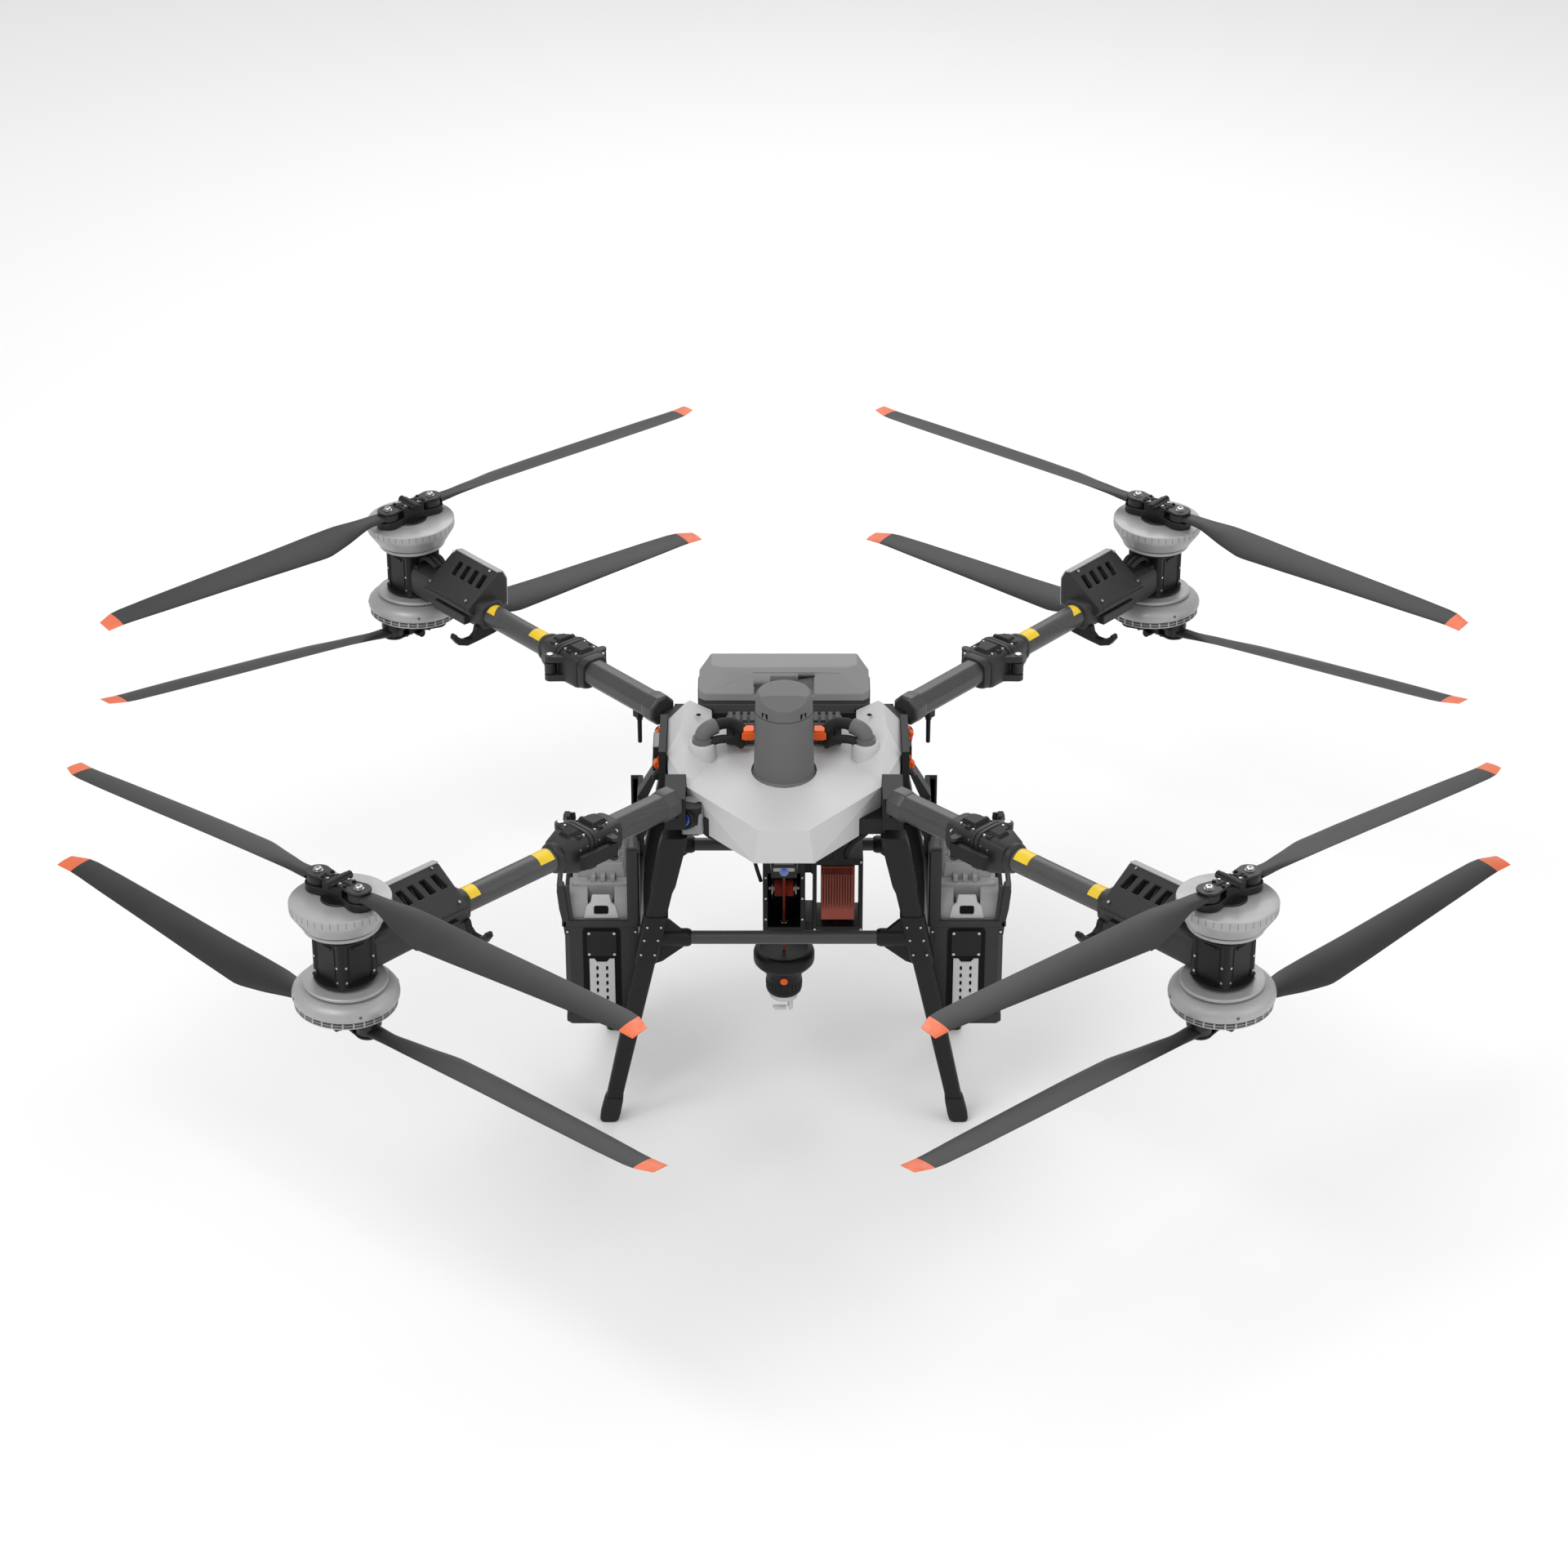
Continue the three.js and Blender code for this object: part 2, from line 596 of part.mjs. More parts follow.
// ---- winch ----
function winchFrame() {
  const top = DECK.low - GAP;
  const parts = [
    block([-44, -34], [-66, 66], [366, top]),
    block([34, 44], [-66, 66], [366, top]),
    block([-44, 44], [-66, 66], [366, 376]),
    block([-44, 44], [-66, -60], [530, 600]),
    block([-44, 44], [-66, -60], [376, 400]),
    block([-44, 44], [60, 66], [366, top]),
    // the cage for the motor hangs beside it
    block([44, 62], [-46, 46], [520, 560]),
    block([44, 62], [-46, 46], [380, 400]),
    block([60, 164], [-50, 50], [540, 556]),
    block([60, 164], [-50, 50], [380, 392]),
    block([60, 68], [-50, 50], [380, 556]),
    block([156, 164], [-50, 50], [380, 556]),
    block([100, 124], [-50, 50], [550, top]),
    // the bracket on the other side
    block([-112, -43], [-40, 30], [600, 640]),
    block([-112, -96], [-30, 20], [630, top]),
  ];
  return cut(join(...parts), rodZ(9, 360, 380, 12));
}

function winchMotor() {
  const body = block([76, 148], [-44, 44], [402, 532]);
  const fins = block([76, 142], [-58, -40], [434, 526]);
  const grooves = [];
  for (let i = 0; i < 5; i++) {
    grooves.push(block([86 + i * 11, 89 + i * 11], [-60, -48], [430, 530]));
  }
  const foot = rodZ(24, 392 + GAP, 404, 14).translate(112, 0, 0);
  return cut(join(body, fins, foot), ...grooves);
}

function winchDrum() {
  const { half, r } = DRUM;
  return join(
    rodX(8, -34 + GAP, 34 - GAP, 10),
    rodX(r - 8, -half + 2, half - 2, 18),
    rodX(r, -half, -half + 4, 18),
    rodX(r, half - 4, half, 18),
    rodX(4, -33, 33, 8),
  ).translate(0, DRUM.y, DRUM.z);
}

const HOOK = { top: 311, button: 250 }; // heights of the collar's top and of the button

function hookBody() {
  const body = turned([
    [0, 192], [30, 192], [34, 204], [37.5, 214], [37.5, 256], [46, 270], [60, 277], [64.5, 284],
    [64.5, 303], [60, HOOK.top], [0, HOOK.top],
  ], 20);
  const fixedJaw = block([-24, -3], [-14, 14], [163, 196]);
  const jawTip = block([-24, 6], [-14, -2], [163, 171]);
  return cut(
    join(body, fixedJaw, jawTip),
    rodY(8.6, -60, -24, 12).translate(0, 0, HOOK.button),
    block([3, 30], [-15, 15], [185, 202]),
    rodZ(ROPE_R + GAP, 290, 320, 8),
  );
}

// The gate hangs on a pin across the mouth and closes against the fixed jaw.
function hookGate() {
  const eyeRound = rodY(6, -12, 12, 12).translate(14, 0, 193);
  const blade = block([10, 20], [-12, 12], [163, 193]);
  const tip = block([7, 20], [0, 12], [163, 171]);
  return join(eyeRound, blade, tip);
}

// ---- assembly ----
const drone = new THREE.Group();

for (const sideName of ["right", "left"]) {
  const side = new THREE.Group();
  if (sideName === "left") side.scale.x = -1;
  drone.add(side);
  const letter = sideName[0];
  arm(side, `f${letter}`, false);
  arm(side, `r${letter}`, true);
  piece(side, `battery_cage_${sideName}`, batteryCage(), LOOK.cage);
  piece(side, `battery_${sideName}`, battery(), LOOK.battery);
  piece(side, `front_leg_${sideName}`, leg(), LOOK.frame).scale.y = -1;
  piece(side, `rear_leg_${sideName}`, leg(), LOOK.frame);
}

piece(drone, "centre_frame", centreFrame(), LOOK.frame);
piece(drone, "top_shell", topShell(), LOOK.shell);
piece(drone, "antenna_mast", antennaMast(), LOOK.mast);
piece(drone, "parachute_canister", parachuteCanister(), LOOK.canister);
piece(drone, "front_crossbar", crossbar(), LOOK.tube).position.y = -BAR_Y;
piece(drone, "winch_frame", winchFrame(), LOOK.frame);
piece(drone, "winch_motor", winchMotor(), LOOK.fins);
piece(drone, "winch_drum", winchDrum(), LOOK.steel);
piece(drone, "hook_body", hookBody(), LOOK.frame);
piece(drone, "rope", rodZ(ROPE_R, HOOK.top - 20, ROPE_TOP, 8), LOOK.rope);
piece(drone, "hook_gate", hookGate(), LOOK.steel);
piece(drone, "hook_button", rodY(8, -41, -30, 12).translate(0, 0, HOOK.button), LOOK.button);

export default drone;
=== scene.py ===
"""Looks for the heavy-lift cargo drone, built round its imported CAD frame.

Lengths in this script are millimetres until Shape.piece() turns them into metres. The ground is z = 0,
the nose points along -Y. An arm's own frame has x outwards along the arm, y to its left and z up from
its axis.
"""
import json
import math

import bmesh
import bpy
import numpy as np
from mathutils import Matrix, Vector


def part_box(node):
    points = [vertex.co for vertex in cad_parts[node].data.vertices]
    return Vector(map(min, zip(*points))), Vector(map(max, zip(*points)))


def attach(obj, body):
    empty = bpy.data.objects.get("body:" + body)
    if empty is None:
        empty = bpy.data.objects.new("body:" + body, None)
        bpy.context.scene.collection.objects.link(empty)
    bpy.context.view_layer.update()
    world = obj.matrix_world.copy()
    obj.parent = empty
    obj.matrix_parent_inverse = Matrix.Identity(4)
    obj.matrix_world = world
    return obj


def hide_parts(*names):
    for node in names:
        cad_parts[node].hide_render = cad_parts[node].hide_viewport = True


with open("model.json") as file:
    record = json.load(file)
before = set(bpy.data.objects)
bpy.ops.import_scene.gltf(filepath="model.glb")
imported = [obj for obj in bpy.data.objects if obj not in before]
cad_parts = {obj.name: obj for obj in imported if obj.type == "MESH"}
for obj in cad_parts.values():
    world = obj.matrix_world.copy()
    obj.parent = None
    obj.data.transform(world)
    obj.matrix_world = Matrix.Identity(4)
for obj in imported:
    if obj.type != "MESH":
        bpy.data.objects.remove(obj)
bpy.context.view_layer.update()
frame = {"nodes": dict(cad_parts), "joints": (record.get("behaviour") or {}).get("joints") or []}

MM = 0.001
ACROSS = Matrix(((0, 0, 1, 0), (1, 0, 0, 0), (0, 1, 0, 0), (0, 0, 0, 1)))  # an outline in y and z, long in x
JOINT = {joint["name"]: joint for joint in frame["joints"]}

# ---- driving dimensions, the same as the frame's ----
ARM_Z = 790
MOTOR_OFFSET = 825
ROOT = {"f": (223, -223), "r": (251, 160)}
KNUCKLE = {"f": 252, "r": 313}
HINGE_Y = 56
LATCH_X, LATCH_Y = -40, -55
POD_LENGTH = 241
MOTOR_SIDE = 287  # from the pod's inner end to the motor axis
BAR_Z = 452
LEG_TOP, LEG_FOOT = (221, 198, 699.5), (368, 180, 0)
PLANE = {"upper": 88, "lower": -92}
PIN = 56
BLADE_REACH = 787  # from the spin axis to the tip
BLADE_END = BLADE_REACH - PIN
TAGS = ("fr", "fl", "rr", "rl")
HANDS = (("right", 1), ("left", -1))


def box_mm(node):
    low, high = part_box(node)
    return np.array(low) / MM, np.array(high) / MM


# ---------------------------------------------------------------- materials
class Nodes:
    """A short way to wire a material."""

    def __init__(self, name):
        self.material = bpy.data.materials.new(name)
        self.material.use_nodes = True
        self.tree = self.material.node_tree
        self.shader = self.tree.nodes["Principled BSDF"]
        coordinates = self.tree.nodes.new("ShaderNodeTexCoord")
        self.object_point = coordinates.outputs["Object"]
        self.uv = coordinates.outputs["UV"]

    def node(self, kind, inputs=None, **settings):
        made = self.tree.nodes.new("ShaderNode" + kind)
        for key, value in settings.items():
            setattr(made, key, value)
        for key, value in (inputs or {}).items():
            self.feed(made.inputs[key], value)
        return made

    def feed(self, socket, value):
        if isinstance(value, bpy.types.NodeSocket):
            self.tree.links.new(value, socket)
        else:
            socket.default_value = value

    def math(self, operation, a, b=0.0):
        made = self.node("Math", operation=operation)
        self.feed(made.inputs[0], a)
        self.feed(made.inputs[1], b)
        return made.outputs[0]

    def noise(self, scale, detail=4.0, vector=None, roughness=0.6):
        made = self.node("TexNoise", {"Scale": scale, "Detail": detail, "Roughness": roughness})
        self.feed(made.inputs["Vector"], vector or self.object_point)
        return made.outputs["Fac"]

    def stretched(self, scale, source=None):
        made = self.node("Mapping")
        made.inputs["Scale"].default_value = scale
        self.feed(made.inputs["Vector"], source or self.object_point)
        return made.outputs["Vector"]

    def ramp(self, value, low, high, out_low=0.0, out_high=1.0):
        limits = {"From Min": low, "From Max": high, "To Min": out_low, "To Max": out_high}
        made = self.node("MapRange", limits)
        self.feed(made.inputs["Value"], value)
        return made.outputs["Result"]

    def mix(self, share, a, b):
        made = self.node("Mix", data_type="RGBA")
        self.feed(made.inputs["Factor"], share)
        self.feed(made.inputs["A"], a)
        self.feed(made.inputs["B"], b)
        return made.outputs["Result"]

    def set(self, key, value):
        self.feed(self.shader.inputs[key], value)

    def bump(self, height, strength, distance=0.001):
        made = self.node("Bump", {"Height": height, "Strength": strength, "Distance": distance})
        self.set("Normal", made.outputs["Normal"])
        return made


def grey(level, tint=(1, 1, 1)):
    """A linear colour from a display grey of 0 to 255."""
    share = level / 255
    linear = share / 12.92 if share <= 0.04045 else ((share + 0.055) / 1.055) ** 2.4
    return tuple(linear * t for t in tint) + (1.0,)


def rgb(red, green, blue):
    return tuple(grey(c)[0] for c in (red, green, blue)) + (1.0,)


def scaled(colour, factor):
    return tuple(min(1.0, c * factor) for c in colour[:3]) + (1.0,)


def worn_edges(m, width, low, high):
    """1 on convex edges, 0 on flats, broken up by noise."""
    rounded = m.node("Bevel", {"Radius": width}, samples=4)
    flat = m.node("NewGeometry").outputs["Normal"]
    dot = m.node("VectorMath", operation="DOT_PRODUCT")
    m.feed(dot.inputs[0], rounded.outputs["Normal"])
    m.feed(dot.inputs[1], flat)
    edge = m.ramp(dot.outputs["Value"], 0.995, 0.93)
    return m.math("MULTIPLY", edge, m.ramp(m.noise(55, 5), low, high))


def moulded(name, colour, roughness, grain=900, grain_bump=0.12, variation=0.08, wear=0.0, specular=0.5):
    """Moulded plastic or paint: cloudy colour, fine grain, uneven gloss, lighter rubbed edges."""
    m = Nodes(name)
    cloud = m.noise(7, 5)
    speck = m.noise(grain, 2)
    base = m.mix(m.ramp(cloud, 0.3, 0.7), scaled(colour, 1 - variation), scaled(colour, 1 + variation))
    base = m.mix(m.ramp(speck, 0.55, 0.8, 0, 0.25), base, scaled(colour, 0.7))
    if wear:
        rubbed = worn_edges(m, 0.0012, 0.45, 0.75)
        base = m.mix(m.math("MULTIPLY", rubbed, wear), base, scaled(colour, 2.6))
    m.set("Base Color", base)
    smears = m.noise(0, 6, m.stretched((18, 60, 18)))
    gloss = m.math("ADD", m.ramp(smears, 0.3, 0.7, -0.07, 0.07), roughness)
    m.set("Roughness", m.math("ADD", gloss, m.ramp(speck, 0.3, 0.7, -0.03, 0.03)))
    m.set("Specular IOR Level", specular)
    relief = m.math("ADD", speck, m.math("MULTIPLY", m.noise(120, 3), 0.6))
    m.bump(relief, grain_bump, 0.0004)
    return m.material


def painted_metal(name, colour, roughness):
    """Satin paint over turned metal: uneven polish and orange peel."""
    m = Nodes(name)
    cloud = m.noise(9, 4)
    base = m.mix(m.ramp(cloud, 0.3, 0.7), scaled(colour, 0.94), scaled(colour, 1.05))
    dust = m.ramp(m.noise(300, 3), 0.55, 0.8, 0, 0.15)
    m.set("Base Color", m.mix(dust, base, scaled(colour, 0.75)))
    m.set("Roughness", m.math("ADD", roughness, m.ramp(m.noise(25, 5), 0.3, 0.7, -0.06, 0.08)))
    m.set("Metallic", 0.25)
    m.set("Coat Weight", 0.15)
    m.bump(m.noise(450, 2), 0.08, 0.0003)
    return m.material


def bare_metal(name, colour, roughness):
    """Brushed steel for bolts and screws."""
    m = Nodes(name)
    brushed = m.noise(0, 3, m.stretched((80, 80, 900)))
    m.set("Base Color", m.mix(m.ramp(brushed, 0.3, 0.7), scaled(colour, 0.8), colour))
    m.set("Metallic", 1.0)
    m.set("Roughness", m.math("ADD", roughness, m.ramp(brushed, 0.3, 0.7, -0.08, 0.12)))
    m.bump(brushed, 0.1, 0.0002)
    return m.material


def carbon_tube(name, colour):
    """Wound carbon tube: a crossed weave under a clear coat."""
    m = Nodes(name)
    waves = []
    for turn in (0.7, -0.7):
        mapped = m.node("Mapping")
        mapped.inputs["Rotation"].default_value = (0, turn, turn)
        m.feed(mapped.inputs["Vector"], m.object_point)
        wave = m.node("TexWave", {"Scale": 130.0, "Distortion": 0.6, "Detail": 1.0})
        m.feed(wave.inputs["Vector"], mapped.outputs["Vector"])
        waves.append(wave.outputs["Fac"])
    weave = m.math("MULTIPLY", waves[0], waves[1])
    cloud = m.noise(6, 4)
    tone = m.mix(m.ramp(cloud, 0.3, 0.7), scaled(colour, 0.88), scaled(colour, 1.12))
    m.set("Base Color", m.mix(m.math("MULTIPLY", weave, 0.35), tone, scaled(colour, 1.7)))
    m.set("Roughness", m.math("ADD", 0.42, m.math("MULTIPLY", weave, -0.1)))
    m.set("Specular IOR Level", 0.4)
    m.set("Coat Weight", 0.12)
    m.set("Coat Roughness", 0.3)
    m.bump(m.math("ADD", weave, m.math("MULTIPLY", m.noise(500, 2), 0.3)), 0.1, 0.0003)
    return m.material


def blade_plastic(name, colour):
    """Fibre-filled blade: streaks along the span (the UV's u)."""
    m = Nodes(name)
    fibres = m.noise(0, 6, m.stretched((4, 260, 1), m.uv), 0.7)
    cloud = m.noise(5, 4)
    tone = m.mix(m.ramp(cloud, 0.3, 0.7), scaled(colour, 0.85), scaled(colour, 1.15))
    tone = m.mix(m.ramp(fibres, 0.5, 0.75, 0, 0.3), tone, scaled(colour, 1.9))
    m.set("Base Color", tone)
    m.set("Roughness", m.math("ADD", 0.46, m.ramp(fibres, 0.3, 0.7, -0.08, 0.08)))
    m.set("Specular IOR Level", 0.3)
    m.bump(m.math("ADD", fibres, m.math("MULTIPLY", m.noise(800, 2), 0.5)), 0.07, 0.0003)
    return m.material


def film(name, colour, chipped):
    """A thin painted or stuck-on film with small chips and faint scuffs."""
    m = Nodes(name)
    chips = m.ramp(m.noise(160, 5), 0.70, 0.74)
    cloud = m.mix(m.ramp(m.noise(30, 4), 0.3, 0.7), scaled(colour, 0.9), scaled(colour, 1.08))
    m.set("Base Color", m.mix(m.math("MULTIPLY", chips, chipped), cloud, grey(60)))
    m.set("Roughness", m.ramp(m.noise(90, 4), 0.3, 0.7, 0.32, 0.55))
    m.bump(m.noise(400, 2), 0.08, 0.0003)
    return m.material


def cord(name):
    """Braided cord: two crossing spirals of red strands."""
    m = Nodes(name)
    strands = []
    for turn in (0.8, -0.8):
        mapped = m.node("Mapping")
        mapped.inputs["Rotation"].default_value = (turn, turn, 0)
        m.feed(mapped.inputs["Vector"], m.object_point)
        wave = m.node("TexWave", {"Scale": 180.0, "Distortion": 1.0})
        m.feed(wave.inputs["Vector"], mapped.outputs["Vector"])
        strands.append(wave.outputs["Fac"])
    braid = m.math("MAXIMUM", strands[0], strands[1])
    m.set("Base Color", m.mix(braid, rgb(110, 22, 14), rgb(215, 62, 34)))
    m.set("Roughness", 0.85)
    m.set("Sheen Weight", 0.3)
    m.bump(braid, 0.5, 0.0006)
    return m.material


def rubber(name, level):
    m = Nodes(name)
    fine = m.noise(700, 4)
    m.set("Base Color", m.mix(m.ramp(m.noise(20, 4), 0.3, 0.7), grey(level * 0.8), grey(level * 1.2)))
    m.set("Roughness", m.ramp(fine, 0.3, 0.7, 0.7, 0.9))
    m.bump(fine, 0.3, 0.0005)
    return m.material


def lens_glass(name, colour):
    """A coated lens: deep colour, lightened towards the rim by a painted reflection."""
    m = Nodes(name)
    rim_reflection_share = m.node("LayerWeight", {"Blend": 0.45}).outputs["Facing"]
    # Painted reflection: pale blue mixed into the base colour at grazing angles.
    m.set("Base Color", m.mix(rim_reflection_share, colour, rgb(150, 200, 255)))
    m.set("Roughness", m.ramp(m.noise(200, 3), 0.3, 0.7, 0.03, 0.08))
    m.set("Metallic", 0.4)
    m.set("Coat Weight", 1.0)
    m.set("Coat Roughness", 0.03)
    return m.material


LOOK = {
    "shell": moulded("shell_plastic", grey(196), 0.5, 1100, 0.10, 0.02, specular=0.4),
    "motor": painted_metal("motor_paint", grey(166), 0.44),
    # Painted shade: the darker grey that fills the bell grooves, ticks and slots.
    "motor_groove_shade": painted_metal("motor_groove_painted_shade", grey(92), 0.5),
    "mast": moulded("mast_plastic", grey(100), 0.55, 1000, 0.12, 0.03, specular=0.35),
    "canister": moulded("canister_plastic", grey(134), 0.55, 900, 0.14, 0.03, specular=0.35),
    "canister_dark": moulded("canister_base_plastic", grey(66), 0.55, 900, 0.14, 0.05, specular=0.3),
    "battery": moulded("battery_plastic", grey(146), 0.52, 800, 0.14, 0.04, specular=0.4),
    "latch_grey": moulded("battery_latch_plastic", grey(186), 0.48, 800, 0.1, 0.03),
    "cage": moulded("cage_plastic", grey(44), 0.52, 600, 0.2, 0.08, wear=0.1, specular=0.3),
    "pod": moulded("pod_plastic", grey(46), 0.5, 700, 0.18, 0.08, wear=0.1, specular=0.3),
    "knuckle": moulded("knuckle_coat", grey(38), 0.45, 700, 0.16, 0.08, wear=0.15, specular=0.35),
    "frame": moulded("frame_powder_coat", grey(24), 0.5, 500, 0.22, 0.1, wear=0.15, specular=0.25),
    "black": moulded("black_plastic", grey(19), 0.46, 700, 0.14, 0.1, wear=0.1, specular=0.25),
    "clamp": moulded("clamp_coat", grey(22), 0.4, 600, 0.12, 0.1, wear=0.2, specular=0.35),
    # Near-black painted shade, put in holes, vents, slots and recesses.
    "dark": moulded("recess_painted_shade", grey(9), 0.65, 500, 0.1, 0.1, specular=0.15),
    "arm": carbon_tube("arm_sleeve_carbon", grey(58)),
    "tube": carbon_tube("carbon_tube", grey(64)),
    "blade": blade_plastic("blade_carbon_plastic", grey(46, (0.98, 1.0, 1.02))),
    "tip": film("tip_orange_paint", rgb(224, 106, 62), 0.6),
    "yellow": film("yellow_band_film", rgb(232, 196, 30), 0.5),
    "orange": moulded("orange_plastic", rgb(240, 96, 14), 0.42, 800, 0.1, 0.04, specular=0.4),
    "fins": painted_metal("fin_copper_red", rgb(150, 62, 44), 0.4),
    "steel": bare_metal("bolt_steel", grey(190), 0.3),
    "rope": cord("rope_cord"),
    "rubber": rubber("foot_rubber", 20),
    "hose": rubber("hose_rubber", 26),
    "jaw": moulded("jaw_polymer", grey(206), 0.35, 700, 0.1, 0.03, specular=0.5),
    "lens": lens_glass("lens_blue_glass", rgb(10, 40, 140)),
}


# ---------------------------------------------------------------- outlines and points
def turns_of(count, shift=0.0):
    """Even angles round a full turn, in radians."""
    return [2 * math.pi * (i + shift) / count for i in range(count)]


def superellipse(half_a, half_b, power, points, shift=0.0):
    """An outline between an ellipse, at power 2, and a rectangle."""
    outline = []
    for turn in turns_of(points, shift):
        c, s = math.cos(turn), math.sin(turn)
        size = (abs(c) ** power + abs(s) ** power) ** (-1 / power)
        outline.append((half_a * size * c, half_b * size * s))
    return outline


def span(s, near, far):
    """The stretch between two distances from the middle, on the side that s gives."""
    return tuple(sorted((s * near, s * far)))


def both_sides(rows, start=0):
    """Points from rows of x, half width and z, on both sides of the middle."""
    return [(start + x, y, z) for x, w, z in rows for y in (-w, w)]


def slab(outline, low, high):
    """The corners of an outline in x and z, made as wide in y as low to high."""
    return [(x, y, z) for x, z in outline for y in (low, high)]


# ---------------------------------------------------------------- mesh building
class Shape:
    """Collects closed forms in millimetres and turns them into one piece."""

    def __init__(self, matrix=None):
        self.bm = bmesh.new()
        self.matrix = matrix or Matrix.Identity(4)
        self.uv = self.bm.loops.layers.uv.new("UVMap")

    def absorb(self, part, local=None):
        """Adds the forms of a small bmesh, moved by local and then by this shape's own matrix."""
        move = self.matrix @ (local or Matrix.Identity(4))
        bmesh.ops.transform(part, matrix=move, verts=part.verts)
        if move.determinant() < 0:
            bmesh.ops.reverse_faces(part, faces=part.faces)
        mesh = bpy.data.meshes.new("scratch")
        part.to_mesh(mesh)
        part.free()
        self.bm.from_mesh(mesh)
        bpy.data.meshes.remove(mesh)
        return self

    def hull(self, points, local=None):
        part = bmesh.new()
        for point in points:
            part.verts.new(point)
        made = bmesh.ops.convex_hull(part, input=part.verts)
        loose = [v for v in made["geom_interior"] + made["geom_unused"] if isinstance(v, bmesh.types.BMVert)]
        bmesh.ops.delete(part, geom=list(set(loose)), context="VERTS")
        bmesh.ops.dissolve_limit(part, angle_limit=0.02, verts=part.verts, edges=part.edges)
        bmesh.ops.recalc_face_normals(part, faces=part.faces)
        return self.absorb(part, local)

    def box(self, x, y, z, local=None):
        return self.hull([(a, b, c) for a in x for b in y for c in z], local)

    def rod(self, start, end, radius, end_radius=None, sides=48, local=None):
        """A round bar between two points."""
        start, end = Vector(start), Vector(end)
        part = bmesh.new()
        length = (end - start).length
        bmesh.ops.create_cone(part, cap_ends=True, segments=sides, radius1=radius,
                              radius2=radius if end_radius is None else end_radius, depth=length)
        turn = (end - start).to_track_quat("Z", "Y").to_matrix().to_4x4()
        bmesh.ops.transform(part, matrix=Matrix.Translation((start + end) / 2) @ turn, verts=part.verts)
        return self.absorb(part, local)

    def lathe(self, profile, sides=96, local=None):
        """Turns [radius, height] points about Z; the profile starts and ends on the axis."""
        rings = []
        part = bmesh.new()
        for radius, height in profile:
            if radius < 1e-6:
                rings.append([part.verts.new((0, 0, height))])
                continue
            points = [(radius * math.cos(t), radius * math.sin(t), height) for t in turns_of(sides)]
            rings.append([part.verts.new(point) for point in points])
        for low, high in zip(rings, rings[1:]):
            for i in range(sides):
                j = (i + 1) % sides
                if len(low) == 1:
                    part.faces.new((low[0], high[j], high[i]))
                elif len(high) == 1:
                    part.faces.new((low[i], low[j], high[0]))
                else:
                    part.faces.new((low[i], low[j], high[j], high[i]))
        bmesh.ops.recalc_face_normals(part, faces=part.faces)
        return self.absorb(part, local)

    def loft(self, rings, local=None):
        """A skin through rings of equal size. UV: u along, v round."""
        part = bmesh.new()
        uv = part.loops.layers.uv.new("UVMap")
        verts = [[part.verts.new(p) for p in ring] for ring in rings]
        size = len(rings[0])
        for r in range(len(rings) - 1):
            for i in range(size):
                j = (i + 1) % size
                face = part.faces.new((verts[r][i], verts[r][j], verts[r + 1][j], verts[r + 1][i]))
                corners = ((r, i), (r, i + 1), (r + 1, i + 1), (r + 1, i))
                for loop, (along, round_) in zip(face.loops, corners):
                    loop[uv].uv = (along / (len(rings) - 1), round_ / size)
        part.faces.new(list(reversed(verts[0])))
        part.faces.new(verts[-1])
        bmesh.ops.recalc_face_normals(part, faces=part.faces)
        return self.absorb(part, local)

    def tube(self, points, radius, sides=20, steps=8, local=None):
        """A round tube through points, smoothed with a Catmull-Rom curve."""
        path = smooth_path([Vector(p) for p in points], steps)
        rings = []
        side = Vector((0, 0, 1))
        for i, point in enumerate(path):
            ahead = (path[min(i + 1, len(path) - 1)] - path[max(i - 1, 0)]).normalized()
            across = ahead.cross(side)
            if across.length < 1e-3:
                across = ahead.cross(Vector((0, 1, 0)))
            across.normalize()
            up = across.cross(ahead).normalized()
            side = up
            rings.append([point + across * radius * math.cos(t) + up * radius * math.sin(t)
                          for t in turns_of(sides)])
        return self.loft(rings, local)

    def plate(self, outline, low, high, local=None):
        """An outline in x and y, which may be concave, made as thick as low to high."""
        part = bmesh.new()
        bottom = [part.verts.new((x, y, low)) for x, y in outline]
        top = [part.verts.new((x, y, high)) for x, y in outline]
        part.faces.new(list(reversed(bottom)))
        part.faces.new(top)
        for i in range(len(outline)):
            j = (i + 1) % len(outline)
            part.faces.new((bottom[i], bottom[j], top[j], top[i]))
        bmesh.ops.recalc_face_normals(part, faces=part.faces)
        return self.absorb(part, local)

    def node(self, name):
        """The mesh of a CAD node, with its flat facets joined."""
        part = bmesh.new()
        part.from_mesh(frame["nodes"][name].data)
        bmesh.ops.scale(part, vec=(1 / MM,) * 3, verts=part.verts)
        bmesh.ops.remove_doubles(part, verts=part.verts, dist=0.02)
        bmesh.ops.dissolve_limit(part, angle_limit=0.02, verts=part.verts, edges=part.edges)
        return self.absorb(part)

    def piece(self, name, look, body, bevel=0.0, segments=2, angle=30, stands_for=(), carve=None):
        """Makes the object: metres, boolean cuts, rounded edges, material and body."""
        bmesh.ops.scale(self.bm, vec=(MM,) * 3, verts=self.bm.verts)
        mesh = bpy.data.meshes.new(name)
        self.bm.to_mesh(mesh)
        self.bm.free()
        thing = bpy.data.objects.new(name, mesh)
        bpy.context.scene.collection.objects.link(thing)
        mesh.materials.append(LOOK[look])
        if carve is not None:
            cut_away(thing, carve)
        if bevel:
            edge = thing.modifiers.new("edges", "BEVEL")
            edge.width = bevel * MM
            edge.segments = segments
            edge.limit_method = "ANGLE"
            edge.angle_limit = math.radians(angle)
            edge.harden_normals = True
        shade(thing, angle + 2)
        if stands_for:
            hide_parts(*stands_for)
        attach(thing, body)
        return thing


